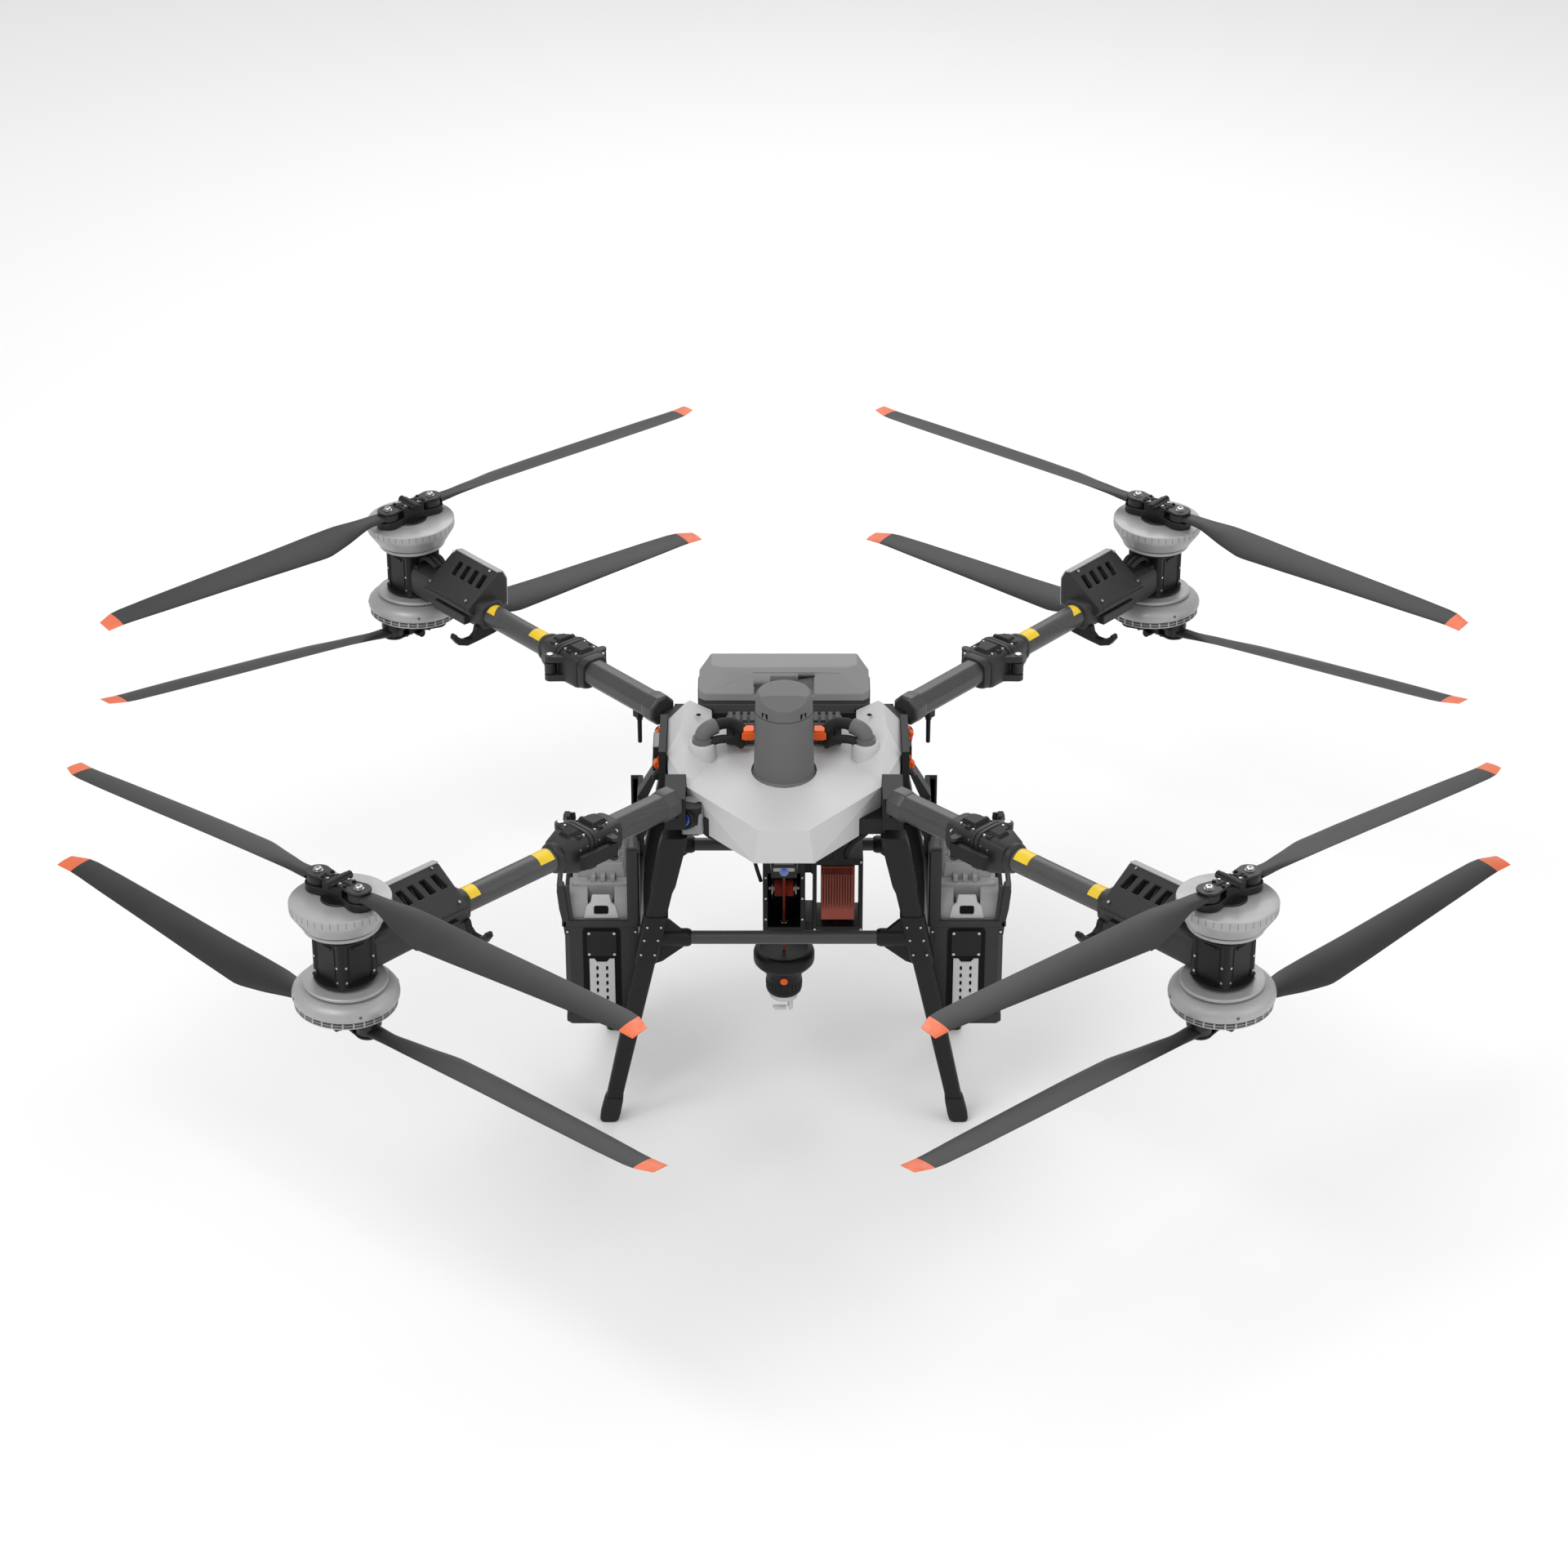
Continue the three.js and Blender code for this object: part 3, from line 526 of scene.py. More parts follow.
def shade(thing, degrees):
    """Smooth shading with creases at edges sharper than the angle."""
    mesh = thing.data
    mesh.shade_smooth()
    bm = bmesh.new()
    bm.from_mesh(mesh)
    limit = math.radians(degrees)
    for edge in bm.edges:
        edge.smooth = len(edge.link_faces) == 2 and edge.calc_face_angle(0) < limit
    bm.to_mesh(mesh)
    bm.free()


def cut_away(thing, cutter):
    """Takes the cutter shape out of an object and keeps the result as its mesh."""
    bmesh.ops.scale(cutter.bm, vec=(MM,) * 3, verts=cutter.bm.verts)
    mesh = bpy.data.meshes.new("cutter")
    cutter.bm.to_mesh(mesh)
    cutter.bm.free()
    tool = bpy.data.objects.new("cutter", mesh)
    bpy.context.scene.collection.objects.link(tool)
    change = thing.modifiers.new("cut", "BOOLEAN")
    change.operation = "DIFFERENCE"
    change.solver = "EXACT"
    change.object = tool
    bpy.context.view_layer.update()
    result = thing.evaluated_get(bpy.context.evaluated_depsgraph_get())
    fresh = bpy.data.meshes.new_from_object(result)
    thing.modifiers.clear()
    old = thing.data
    thing.data = fresh
    bpy.data.meshes.remove(old)
    bpy.data.objects.remove(tool)
    bpy.data.meshes.remove(mesh)


def smooth_path(points, steps):
    if len(points) < 3:
        return points
    path = []
    for i in range(len(points) - 1):
        before = points[max(i - 1, 0)]
        after = points[min(i + 2, len(points) - 1)]
        a, b = points[i], points[i + 1]
        for k in range(steps):
            t = k / steps
            path.append(0.5 * ((2 * a) + (b - before) * t + (2 * before - 5 * a + 4 * b - after) * t * t
                               + (3 * a - before - 3 * b + after) * t ** 3))
    path.append(points[-1])
    return path


def arc(centre, radius, start, end, steps=10):
    """Points of an arc in degrees."""
    turns = [math.radians(start + (end - start) * i / steps) for i in range(steps + 1)]
    return [(centre[0] + radius * math.cos(t), centre[1] + radius * math.sin(t)) for t in turns]


def rounded(x, y, radius, steps=5):
    """A rectangle outline with round corners."""
    (x0, x1), (y0, y1) = x, y
    outline = []
    for cx, cy, start in ((x1 - radius, y1 - radius, 0), (x0 + radius, y1 - radius, 90),
                          (x0 + radius, y0 + radius, 180), (x1 - radius, y0 + radius, 270)):
        outline += arc((cx, cy), radius, start, start + 90, steps)
    return outline


UPRIGHT = Matrix.Rotation(math.pi / 2, 4, "X")  # an outline in x and z, thick towards -y


def mirrored(side):
    return Matrix.Diagonal((-1, 1, 1, 1)) if side == "l" else Matrix.Identity(4)


def half_sign(tag):
    """+1 for the right half and -1 for the left."""
    return 1 if tag.endswith("r") else -1


# ---------------------------------------------------------------- arms
def arm_matrix(tag):
    x, y = ROOT[tag[0]]
    way = 1 if y > 0 else -1
    heading = math.atan2(way * MOTOR_OFFSET - y, MOTOR_OFFSET - x)
    return mirrored(tag[1]) @ Matrix.Translation((x, y, ARM_Z)) @ Matrix.Rotation(heading, 4, "Z")


def arm_reach(tag):
    x, y = ROOT[tag[0]]
    return math.hypot(MOTOR_OFFSET - x, MOTOR_OFFSET - abs(y))


def octagon(radius, x):
    return [(x, radius * math.cos(t), radius * math.sin(t)) for t in turns_of(8, 0.5)]


def squared(x, half_y, half_z, low=0.0, points=32, power=4.5):
    """A ring across the arm between a circle and a square."""
    return [(x, y, z + low) for y, z in superellipse(half_y, half_z, power, points)]


def squared_loft(shape, start, rings, power=4.5):
    """A skin through squared rings, each a distance from start, a half width and a half height."""
    shape.loft([squared(start + x, half_y, half_z, power=power) for x, half_y, half_z in rings])


def inner_arm(tag):
    """The sleeve between the body and the fold knuckle, with the knuckle's inner half."""
    at = arm_matrix(tag)
    hand = 1 if tag[0] == "f" else -1
    knuckle = KNUCKLE[tag[0]]
    sleeve = Shape(at)
    sleeve.loft([octagon(30.5, 18), octagon(31, 40), octagon(31, knuckle - 52)])
    sleeve.piece(f"arm_sleeve_{tag}", "arm", "airframe", 5, 3, stands_for=[f"arm_inner_{tag}"])
    collar = Shape(at)
    collar.loft([octagon(29, 1), octagon(34, 5), octagon(34.5, 30), octagon(31.5, 40)])
    collar.piece(f"arm_root_collar_{tag}", "arm", "airframe", 3, 3)
    flip = at @ Matrix.Diagonal((1, hand, 1, 1))
    half = Shape(flip)
    squared_loft(half, knuckle, ((-84, 32, 32), (-76, 35, 35), (-62, 35.5, 35.5)))
    squared_loft(half, knuckle, ((-66, 37, 36), (-58, 40.5, 39), (-9, 41, 40)))
    squared_loft(half, knuckle, ((-9.5, 43, 42), (-7, 44.5, 43.5), (-0.8, 44.5, 43.5)))
    for low in (14.5, -29.5):
        eye(half, knuckle, HINGE_Y, 12, (-30, 2), low, low + 15)
    for low in (17, -25):
        eye(half, knuckle + LATCH_X, LATCH_Y, 8.5, (-10, 10), low, low + 8)
    half.piece(f"knuckle_inner_{tag}", "knuckle", "airframe", 1.6, 3, angle=24)
    top = Shape(flip)
    top.hull(both_sides(((-60, 20, 37), (-14, 24, 38), (-54, 13, 46), (-20, 17, 48)), knuckle))
    corners = [(knuckle + x, z) for x, z in ((-58, 8), (-16, 8), (-54, -24), (-20, -24))]
    top.hull(slab(corners, -38, -44))
    top.rod((knuckle - 30, -30, 33), (knuckle - 30, 30, 33), 9)
    top.rod((knuckle - 46, -24, 32), (knuckle - 46, 24, 32), 6.5)
    top.piece(f"knuckle_cap_{tag}", "black", "airframe", 2, 3)
    bolts = Shape(flip)
    for z in (30, -30):
        bolts.rod((knuckle, HINGE_Y, z - 1), (knuckle, HINGE_Y, z + 2), 7.5, sides=6)
    bolts.rod((knuckle, HINGE_Y, -14), (knuckle, HINGE_Y, 14), 5.5)
    for x, z in ((-62, 24), (-62, -26), (-14, 22)):
        bolts.rod((knuckle + x, -36, z), (knuckle + x, -42.5, z), 2.4, sides=12)
    for x, y in ((-50, -24), (-50, 24), (-16, -26), (-16, 26)):
        bolts.rod((knuckle + x, y, 30), (knuckle + x, y, 41.5), 2.4, sides=12)
    bolts.piece(f"knuckle_bolts_{tag}", "steel", "airframe", 0.5)
    if tag[0] == "r":
        antenna(tag, at)


def eye(shape, x, y, radius, foot, low, high):
    """A round lug at x, y, joined to the block's side along its foot."""
    wall = 38 if y > 0 else -38
    points = arc((x, y), radius, 0, 360, 24)
    points += [(x + foot[0], wall), (x + foot[1], wall)]
    shape.hull([(px, py, z) for px, py in points for z in (low, high)])


def antenna(tag, at):
    rod = Shape(at)
    rod.box((72, 90), (-11, 11), (-44, -27))
    rod.rod((81, 0, -40), (81, 0, -52), 8, 6.5, 24)
    rod.rod((81, 0, -50), (81, 0, -106), 5, 4.6, 24)
    rod.rod((81, 0, -104), (81, 0, -107), 4.6, 3.2, 24)
    rod.piece(f"rod_antenna_{tag}", "black", "airframe", 0.8)


def outer_arm(tag):
    """The knuckle's outer half, the carbon tube and the yellow marks."""
    at = arm_matrix(tag)
    hand = 1 if tag[0] == "f" else -1
    knuckle = KNUCKLE[tag[0]]
    reach = arm_reach(tag)
    body = f"arm_{tag}"
    flip = at @ Matrix.Diagonal((1, hand, 1, 1))
    half = Shape(flip)
    squared_loft(half, knuckle, ((0.8, 44.5, 43.5), (7, 44.5, 43.5), (9.5, 43, 42)))
    squared_loft(half, knuckle, ((9, 41, 40), (36, 40, 39), (56, 33, 33), (66, 30, 30)))
    squared_loft(half, knuckle, ((64, 31, 31), (67, 32.5, 32.5), (76, 31, 31), (80, 27, 27)), 2)
    half.piece(f"knuckle_outer_{tag}", "knuckle", body, 1.6, 3, angle=24)
    lug = Shape(flip)
    points = arc((knuckle, HINGE_Y), 12, 0, 360, 24) + [(knuckle + 34, 38), (knuckle + 10, 38)]
    lug.hull([(x, y, z) for x, y in points for z in (-12, 12)])
    bore = Shape(flip).rod((knuckle, HINGE_Y, -20), (knuckle, HINGE_Y, 20), 6.4, sides=24)
    lug.piece(f"knuckle_lug_{tag}", "knuckle", body, 1.6, 3, carve=bore)
    fittings = Shape(flip)
    fittings.hull(both_sides(((12, 24, 38), (46, 16, 34), (16, 16, 47), (40, 11, 43)), knuckle))
    fittings.rod((knuckle + 26, -30, 33), (knuckle + 26, 30, 33), 8)
    fittings.piece(f"knuckle_top_{tag}", "black", body, 2, 3)
    bolts = Shape(flip)
    for x, y in ((14, -27), (14, 27)):
        bolts.rod((knuckle + x, y, 30), (knuckle + x, y, 41), 2.6, sides=12)
    for x, z in ((16, 20), (34, 18), (16, -22)):
        bolts.rod((knuckle + x, -38, z), (knuckle + x, -41.8, z), 2.4, sides=12)
    bolts.piece(f"knuckle_outer_bolts_{tag}", "steel", body, 0.5)
    tube = Shape(at)
    tube.rod((knuckle + 76, 0, 0), (reach - MOTOR_SIDE + 4, 0, 0), 25, sides=64)
    tube.piece(f"arm_tube_{tag}", "tube", body, 0, stands_for=[f"arm_outer_{tag}"])
    marks(tag, at, knuckle, reach, body)


def marks(tag, at, knuckle, reach, body):
    """Plain yellow films on the tube: two bands in front, a square and a corner triangle behind."""
    spans = ((knuckle + 86, knuckle + 122), (reach - 322, reach - 296))
    near = -1 if tag[0] == "f" else 1
    film_shape = Shape(at)
    for index, (x0, x1) in enumerate(spans):
        steps = 14
        arc_low, arc_high = (20, 150) if tag[0] == "f" else (40, 130)
        rings = []
        for i in range(steps + 1):
            turn = math.radians(arc_low + (arc_high - arc_low) * i / steps)
            start = x0
            if tag[0] == "r" and index == 1:
                start = x0 + (x1 - x0) * 0.9 * i / steps
            y, z = -near * math.cos(turn), math.sin(turn)
            rings.append([(start, 25.05 * y, 25.05 * z), (x1, 25.05 * y, 25.05 * z),
                          (x1, 25.5 * y, 25.5 * z), (start, 25.5 * y, 25.5 * z)])
        film_shape.loft(rings)
    film_shape.piece(f"yellow_marks_{tag}", "yellow", body)


def latch(tag):
    """The fold lever along the knuckle's side."""
    at = arm_matrix(tag)
    hand = 1 if tag[0] == "f" else -1
    pivot = Matrix.Translation((KNUCKLE[tag[0]] + LATCH_X, LATCH_Y, 0))
    place = at @ Matrix.Diagonal((1, hand, 1, 1)) @ pivot
    lever = Shape(place)
    points = arc((0, 0), 8, 90, 270, 14) + [(60, -8), (84, -7), (90, -3), (90, 4), (84, 5), (8, 5)]
    lever.plate(points, -15, 15)
    lever.box((20, 78), (-11, -7.5), (-11, 11))
    carve = Shape(place).rod((0, 0, -20), (0, 0, 20), 4.4, sides=20)
    lever.piece(f"latch_lever_{tag}", "black", f"latch_{tag}", 2, 3,
                stands_for=[f"arm_latch_{tag}"], carve=carve)


POD_SECTION = ((-52, 12), (-50, 24), (36, 84), (50, 80), (58, 62), (58, 0), (-40, 0))


def across(shape, section, low, high):
    """An outline as y and z made long along the arm, from low to high."""
    shape.plate(section, low, high, ACROSS)


def controller(tag):
    """The speed controller's housing with vents, its light back cover, the skirt under it and the hook."""
    at = arm_matrix(tag)
    reach = arm_reach(tag)
    body = f"arm_{tag}"
    inner = reach - MOTOR_SIDE
    end = inner + POD_LENGTH
    pod = Shape(at)
    ends = ((inner + 19, 0.94), (inner + 25, 1), (end - 72, 1), (end - 62, 0.92))
    pod.loft([[(x, 4 + (y - 4) * k, 30 + (z - 30) * k) for y, z in POD_SECTION] for x, k in ends])
    slope = math.atan2(60, 86)
    vents = Shape(at)
    for i in range(4):
        place = Matrix.Translation((inner + 44 + i * 29, 6, 63)) @ Matrix.Rotation(slope, 4, "X")
        vents.hull([(lean + x, y, z) for y, lean in ((-17, -3), (17, 3)) for x in (-7.5, 7.5)
                    for z in (-14, 8)], place)
    pod.piece(f"pod_case_{tag}", "pod", body, 3, 3, carve=vents, stands_for=[f"controller_pod_{tag}"])
    # The fins behind the vents are real; their near-black colour is painted shade inside the housing.
    inside = Shape(at)
    place = Matrix.Translation((inner + 88, 6, 63)) @ Matrix.Rotation(slope, 4, "X")
    for i in range(14):
        inside.box((-58 + i * 9, -54 + i * 9), (-19, 19), (-16, -10), place)
    inside.piece(f"pod_inner_fins_{tag}", "dark", body)
    skirt = Shape(at)
    skirt.loft([squared(x, y, z, low) for x, y, z, low in (
        (inner - 4, 27, 27, 0), (inner + 2, 31, 31, 0), (inner + 60, 34, 32, 0), (end - 10, 42, 36, 4),
        (end + 2, 40, 34, 4))])
    skirt.box((inner + 40, inner + 150), (-46, -30), (-26, -4))
    skirt.box((inner + 28, end - 66), (-54, 60), (14, 20))
    skirt.piece(f"pod_skirt_{tag}", "pod", body, 2, 3)
    trim = Shape(at)
    for x in (inner + 36, inner + 166):
        trim.rod((x, -40, 31), (x, -43, 35.3), 3.2, sides=14)
        trim.rod((x + 6, 30, 80), (x + 5, 28.4, 82.4), 3, sides=14)
    trim.piece(f"pod_screws_{tag}", "steel", body, 0.5)
    cover = Shape(at)
    outline = [(34, 86), (51, 82.5), (61, 63), (61, -2), (58.5, -2), (58.5, 61), (49, 79.6), (34, 83)]
    across(cover, outline, inner + 21, end - 70)
    for i in range(6):
        cover.box((inner + 44 + i * 20, inner + 52 + i * 20), (60, 64), (6, 54))
    cover.piece(f"pod_back_cover_{tag}", "motor", body, 0.8, 2)
    column(tag, at, reach, body)
    prong(tag, at, inner, body)


def column(tag, at, reach, body):
    """The dark block between the two motors, with screws, side panels and the motor leads."""
    core = Shape(at)
    core.plate(rounded((reach - 42, reach + 42), (-42, 42), 10), -34, 61)
    for s in (-1, 1):
        for t in (-1, 1):
            core.rod((reach + s * 35, t * 35, -35), (reach + s * 35, t * 35, 62), 9.5, sides=32)
            core.hull([(reach + s * x, t * y, z) for x, y, z in (
                (26, 26, -36), (46, 26, -36), (26, 46, -36), (45, 45, -36), (30, 44, -20), (44, 30, -20))])
    core.box((reach - 62, reach - 38), (-33, 33), (-29, 44))
    core.lathe(((0, 59), (58, 59), (60, 60.5), (60, 63.5), (57, 64.8), (0, 64.8)), 64,
               Matrix.Translation((reach, 0, 0)))
    core.lathe(((0, -32), (60, -32), (60, -36.5), (0, -36.5)), 64, Matrix.Translation((reach, 0, 0)))
    core.piece(f"motor_column_{tag}", "frame", body, 2, 3)
    details = Shape(at)
    for turn in range(4):
        face = Matrix.Translation((reach, 0, 0)) @ Matrix.Rotation(turn * math.pi / 2, 4, "Z")
        details.plate(rounded((-24, 24), (-20, 48), 5), 41, 43.4, face @ UPRIGHT)
        details.box((-15, 15), (-45, -42), (40, 46), face)
    details.piece(f"column_panels_{tag}", "black", body, 0.8)
    screws = Shape(at)
    for turn in range(4):
        face = Matrix.Translation((reach, 0, 0)) @ Matrix.Rotation(turn * math.pi / 2, 4, "Z")
        for x, z in ((-33, -22), (33, -22), (-33, 10), (33, 10)):
            screws.rod((x, -41, z), (x, -46.2, z), 2.6, sides=16, local=face)
    screws.piece(f"column_screws_{tag}", "steel", body, 0.4)
    cables = Shape(at)
    for k, y in enumerate((-14, 0, 14)):
        cables.tube([(reach - 44, y, 40), (reach - 56 - 2 * k, y, 56), (reach - 78 - 3 * k, y, 60),
                     (reach - 104, y * 0.8, 50)], 5)
    cables.piece(f"motor_leads_{tag}", "hose", body)


def prong(tag, at, inner, body):
    """The open hook beside the arm that steadies a folded tube."""
    outline = [(27, -20), (27, -44), (10, -49), (-30, -54), (-64, -57), (-88, -48), (-101, -30), (-98, -21)]
    outline += [(-92, -21), (-84, -33), (-68, -42), (-50, -42), (-40, -34), (-36, -20)]
    shape = Shape(at)
    across(shape, outline, inner + 4, inner + 20)
    squared_loft(shape, inner, ((1, 30, 30), (23, 31, 31)), 2)
    shape.piece(f"tube_hook_{tag}", "black", body, 2.2, 3)


# ---------------------------------------------------------------- rotors
def hub_matrix(tag, level):
    """From the hub's own frame to the drone's: z away from the arm along the spin axis, x along blade a."""
    spin = JOINT[f"{level}_spin_{tag}"]
    pin = JOINT[f"{level}_fold_a_{tag}"]
    centre = Vector(spin["pos_m"]) / MM
    away = Vector(spin["axis"]).normalized() * (1 if level == "upper" else -1)
    along = (Vector(pin["pos_m"]) / MM - centre).normalized()
    across = away.cross(along).normalized()
    rotation = Matrix((along, across, away)).transposed().to_4x4()
    return Matrix.Translation(centre - away * abs(PLANE[level])) @ rotation


UPPER_BELL = ((0, 2), (66, 2), (72, 3), (73.5, 5), (73.5, 10), (71.5, 11), (70, 11.6), (70, 13.2), (74, 14),
              (79, 16), (87, 29), (93.5, 39), (96.5, 44), (97, 46), (97, 60), (96, 61.6), (93, 62.2),
              (60, 62.5), (0, 62.6))
LOWER_BELL = ((0, 2), (72, 2), (79, 2.6), (80.5, 4), (80.5, 8), (79, 9.4), (75, 10), (75, 12.6), (80, 13.4),
              (88, 15.5), (96, 20), (101, 26.5), (102.4, 32), (102.2, 38), (100.5, 42), (97, 44.4),
              (93.5, 45), (93.5, 55.6), (91, 57), (60, 57.4), (0, 57.4))
BELL_TOP = {"upper": 62, "lower": 57}


def ring_of(shape, count, radius, width, low, high, depth=1.2):
    """Small bars set round a bell."""
    for i in range(count):
        turn = Matrix.Rotation(2 * math.pi * i / count, 4, "Z")
        shape.box((radius - depth, radius), (-width / 2, width / 2), (low, high), turn)


def bell(tag, level):
    at = hub_matrix(tag, level)
    body = f"{level}_rotor_{tag}"
    case = Shape(at).lathe(UPPER_BELL if level == "upper" else LOWER_BELL)
    if level == "lower":
        ring_of(case, 30, 98.2, 3.2, 44.6, 55.8, 5.4)
        case.lathe(((0, 55), (97.6, 55), (98.2, 55.8), (97, 57.4), (0, 57.4)))
        case.lathe(((0, 49.4), (97, 49.4), (97, 50.8), (0, 50.8)))
    case.piece(f"{level}_bell_{tag}", "motor", body, 0, angle=24, stands_for=[f"{level}_hub_{tag}"])
    # Thin dark pieces on the bell: painted shade in its grooves, ticks and slots.
    trim = Shape(at)
    if level == "upper":
        ring_of(trim, 40, 97.15, 0.9, 47, 60)
        trim.lathe(((0, 11.8), (71, 11.8), (71, 13), (0, 13)))
    else:
        ring_of(trim, 64, 76, 2.6, 10.2, 12.4)
        trim.lathe(((0, 45.5), (94, 45.5), (94, 55.2), (0, 55.2)))
        for i in range(4):
            turn = Matrix.Rotation(math.pi / 2 * i + 0.5, 4, "Z")
            trim.rod((96, 0, 31), (102.6, 0, 31), 3.2, sides=20, local=turn)
    trim.piece(f"{level}_bell_grooves_{tag}", "motor_groove_shade", body)


def clamp(tag, level):
    """The blade clamp: round lobes under and over the blade roots, a bridge with a cross bar, bolts."""
    at = hub_matrix(tag, level)
    body = f"{level}_rotor_{tag}"
    plane = abs(PLANE[level])
    face = BELL_TOP[level]
    grip = Shape(at)
    grip.lathe(((0, face - 2), (38, face - 2), (36, face + 4), (30, plane - 22), (0, plane - 22)), 64)
    for s in (-1, 1):
        lobe = arc((s * PIN, 0), 27, -110 if s > 0 else 70, 110 if s > 0 else 290, 20)
        lobe += [(s * 20, s * 19), (s * -2, s * 17), (s * -2, -s * 17), (s * 20, -s * 19)]
        grip.plate(lobe, plane - 24, plane - 8)
        over = arc((s * PIN, 0), 24, -110 if s > 0 else 70, 110 if s > 0 else 290, 20)
        over += [(s * 26, s * 18), (s * 10, s * 16), (s * 10, -s * 16), (s * 26, -s * 18)]
        grip.plate(over, plane + 8, plane + 13.5)
    grip.box((-27, 27), (-19, 19), (plane - 12, plane + 10))
    grip.piece(f"{level}_clamp_{tag}", "clamp", body, 2.2, 3)
    cross = Shape(at)
    cross.plate(rounded((-11, 11), (-30, 30), 6), plane + 9, plane + 15)
    cross.rod((0, -31, plane + 12), (0, 31, plane + 12), 7.5, sides=32)
    for s in (-1, 1):
        ridge = ((14, 8, 12), (42, 6, 12), (18, 5, 16.5), (32, 4, 16.5))
        cross.hull([(s * x, y, plane + z) for x, y, z in both_sides(ridge)])
        for t in (-1, 1):
            cross.rod((s * 30, t * 12, plane + 12), (s * 30, t * 12, plane + 17), 4.2, sides=6)
    cross.piece(f"{level}_clamp_bridge_{tag}", "black", body, 1.2, 3)
    bolts = Shape(at)
    for s in (-1, 1):
        bolts.rod((s * PIN, 0, plane - 15), (s * PIN, 0, plane + 14), 5.6, sides=32)
        head = ((0, 12.5), (9.5, 12.5), (9.5, 14.5), (8, 15), (8, 18), (6.5, 19.6), (3.4, 19.8), (3, 17.5),
                (0, 17.5))
        bolts.lathe([(radius, plane + z) for radius, z in head], 32, Matrix.Translation((s * PIN, 0, 0)))
        for t in (-1, 1):
            bolts.rod((s * 17, t * 11, plane + 12), (s * 17, t * 11, plane + 15.5), 2.6, sides=14)
    bolts.piece(f"{level}_clamp_bolts_{tag}", "steel", body, 0, angle=40)


STATIONS = (
    # distance from the pin, leading edge, trailing edge, half thickness, pitch in degrees
    (18, 19, -19, 7, 0), (60, 20, -19, 6.5, 7), (125, 26, -39, 5.5, 15), (190, 26, -56, 4.8, 15),
    (300, 25, -52, 4, 12.5), (450, 26, -44, 3.2, 10), (600, 26, -36, 2.6, 8), (690, 24, -30, 2.2, 7),
    (BLADE_END, 5, -33, 1.6, 6),
)
RISE = {"upper": -10, "lower": 25}
TIP_START = 694
LEAD = {"upper_fr": -1, "lower_fr": 1, "upper_rr": 1, "lower_rr": -1}


def station_at(x):
    """The blade's section values at a distance from the pin, in straight lines between stations."""
    places, *columns = zip(*STATIONS)
    return [float(np.interp(x, places, column)) for column in columns]


def blade_ring(x, lead, rise, points=28):
    """One wing section, round at the front and thin at the back."""
    offsets = (-14, -7, 0, 7, 14)
    samples = [station_at(min(max(x + offset, 18), BLADE_END)) for offset in offsets]
    weights = (1, 2, 3, 2, 1)
    near_tip = x > TIP_START + 4
    if near_tip or x < 30:
        front, back, half, pitch = station_at(x)
    else:
        front, back, half, pitch = (sum(w * s[i] for w, s in zip(weights, samples)) / 9 for i in range(4))
    slope = math.tan(math.radians(pitch))
    lift = rise * max(0.0, x - 60) / (BLADE_END - 60)
    flatness = min(1.0, max(0.0, (x - 40) / 80))
    ring = []
    for i in range(points):
        turn = 2 * math.pi * i / points
        share = 0.5 + 0.5 * math.cos(turn)  # 1 at the leading edge, 0 at the trailing edge
        wing = half * (1.9 * math.sqrt(share) * (1 - share) + 0.35 * share * (1 - share) + 0.06)
        root = half * min(1.0, 2.2 * math.sqrt(max(share * (1 - share), 0)))
        thick = root * (1 - flatness) + min(wing, half) * flatness
        height = thick if turn < math.pi else -thick * (1 - 0.35 * flatness)
        if i == 0 or i == points // 2:
            height = 0
        y = back + (front - back) * share
        camber = half * 0.5 * flatness * 4 * share * (1 - share)
        ring.append((x, lead * y, lift + slope * y + height + camber))
    return ring


def blade(tag, level, letter):
    pin = JOINT[f"{level}_fold_{letter}_{tag}"]
    spin = JOINT[f"{level}_spin_{tag}"]
    at_pin = Vector(pin["pos_m"]) / MM
    up = Vector(spin["axis"]).normalized()
    along = (at_pin - Vector(spin["pos_m"]) / MM).normalized()
    across = up.cross(along).normalized()
    at = Matrix.Translation(at_pin) @ Matrix((along, across, up)).transposed().to_4x4()
    lead = LEAD[f"{level}_{tag[0]}r"] * half_sign(tag)
    body = f"{level}_prop_{letter}_{tag}"
    rise = RISE[level]
    root = Shape(at).rod((0, 0, -7), (0, 0, 7), 22)
    places = [18, 24, 32, 44] + list(range(56, TIP_START - 10, 14)) + [TIP_START]
    root.loft([blade_ring(x, lead, rise) for x in places])
    bore = Shape(at).rod((0, 0, -9), (0, 0, 9), 6.1, sides=32)
    root.piece(f"{level}_blade_{letter}_{tag}_body", "blade", body, 0, angle=32,
               stands_for=[f"{level}_blade_{letter}_{tag}"], carve=bore)
    tip = Shape(at)
    tips = [TIP_START + 0.3, 700, 706, 713, 720, BLADE_END - 4, BLADE_END - 0.5]
    tip.loft([blade_ring(x, lead, rise) for x in tips])
    tip.piece(f"{level}_blade_{letter}_{tag}_tip", "tip", body, 0, angle=40)


# ---------------------------------------------------------------- body
def skin(node, look, body, bevel, segments=2, angle=30):
    """The CAD node's own form with rounded edges and a full material."""
    return Shape().node(node).piece(f"{node}_skin", look, body, bevel, segments, angle, stands_for=[node])


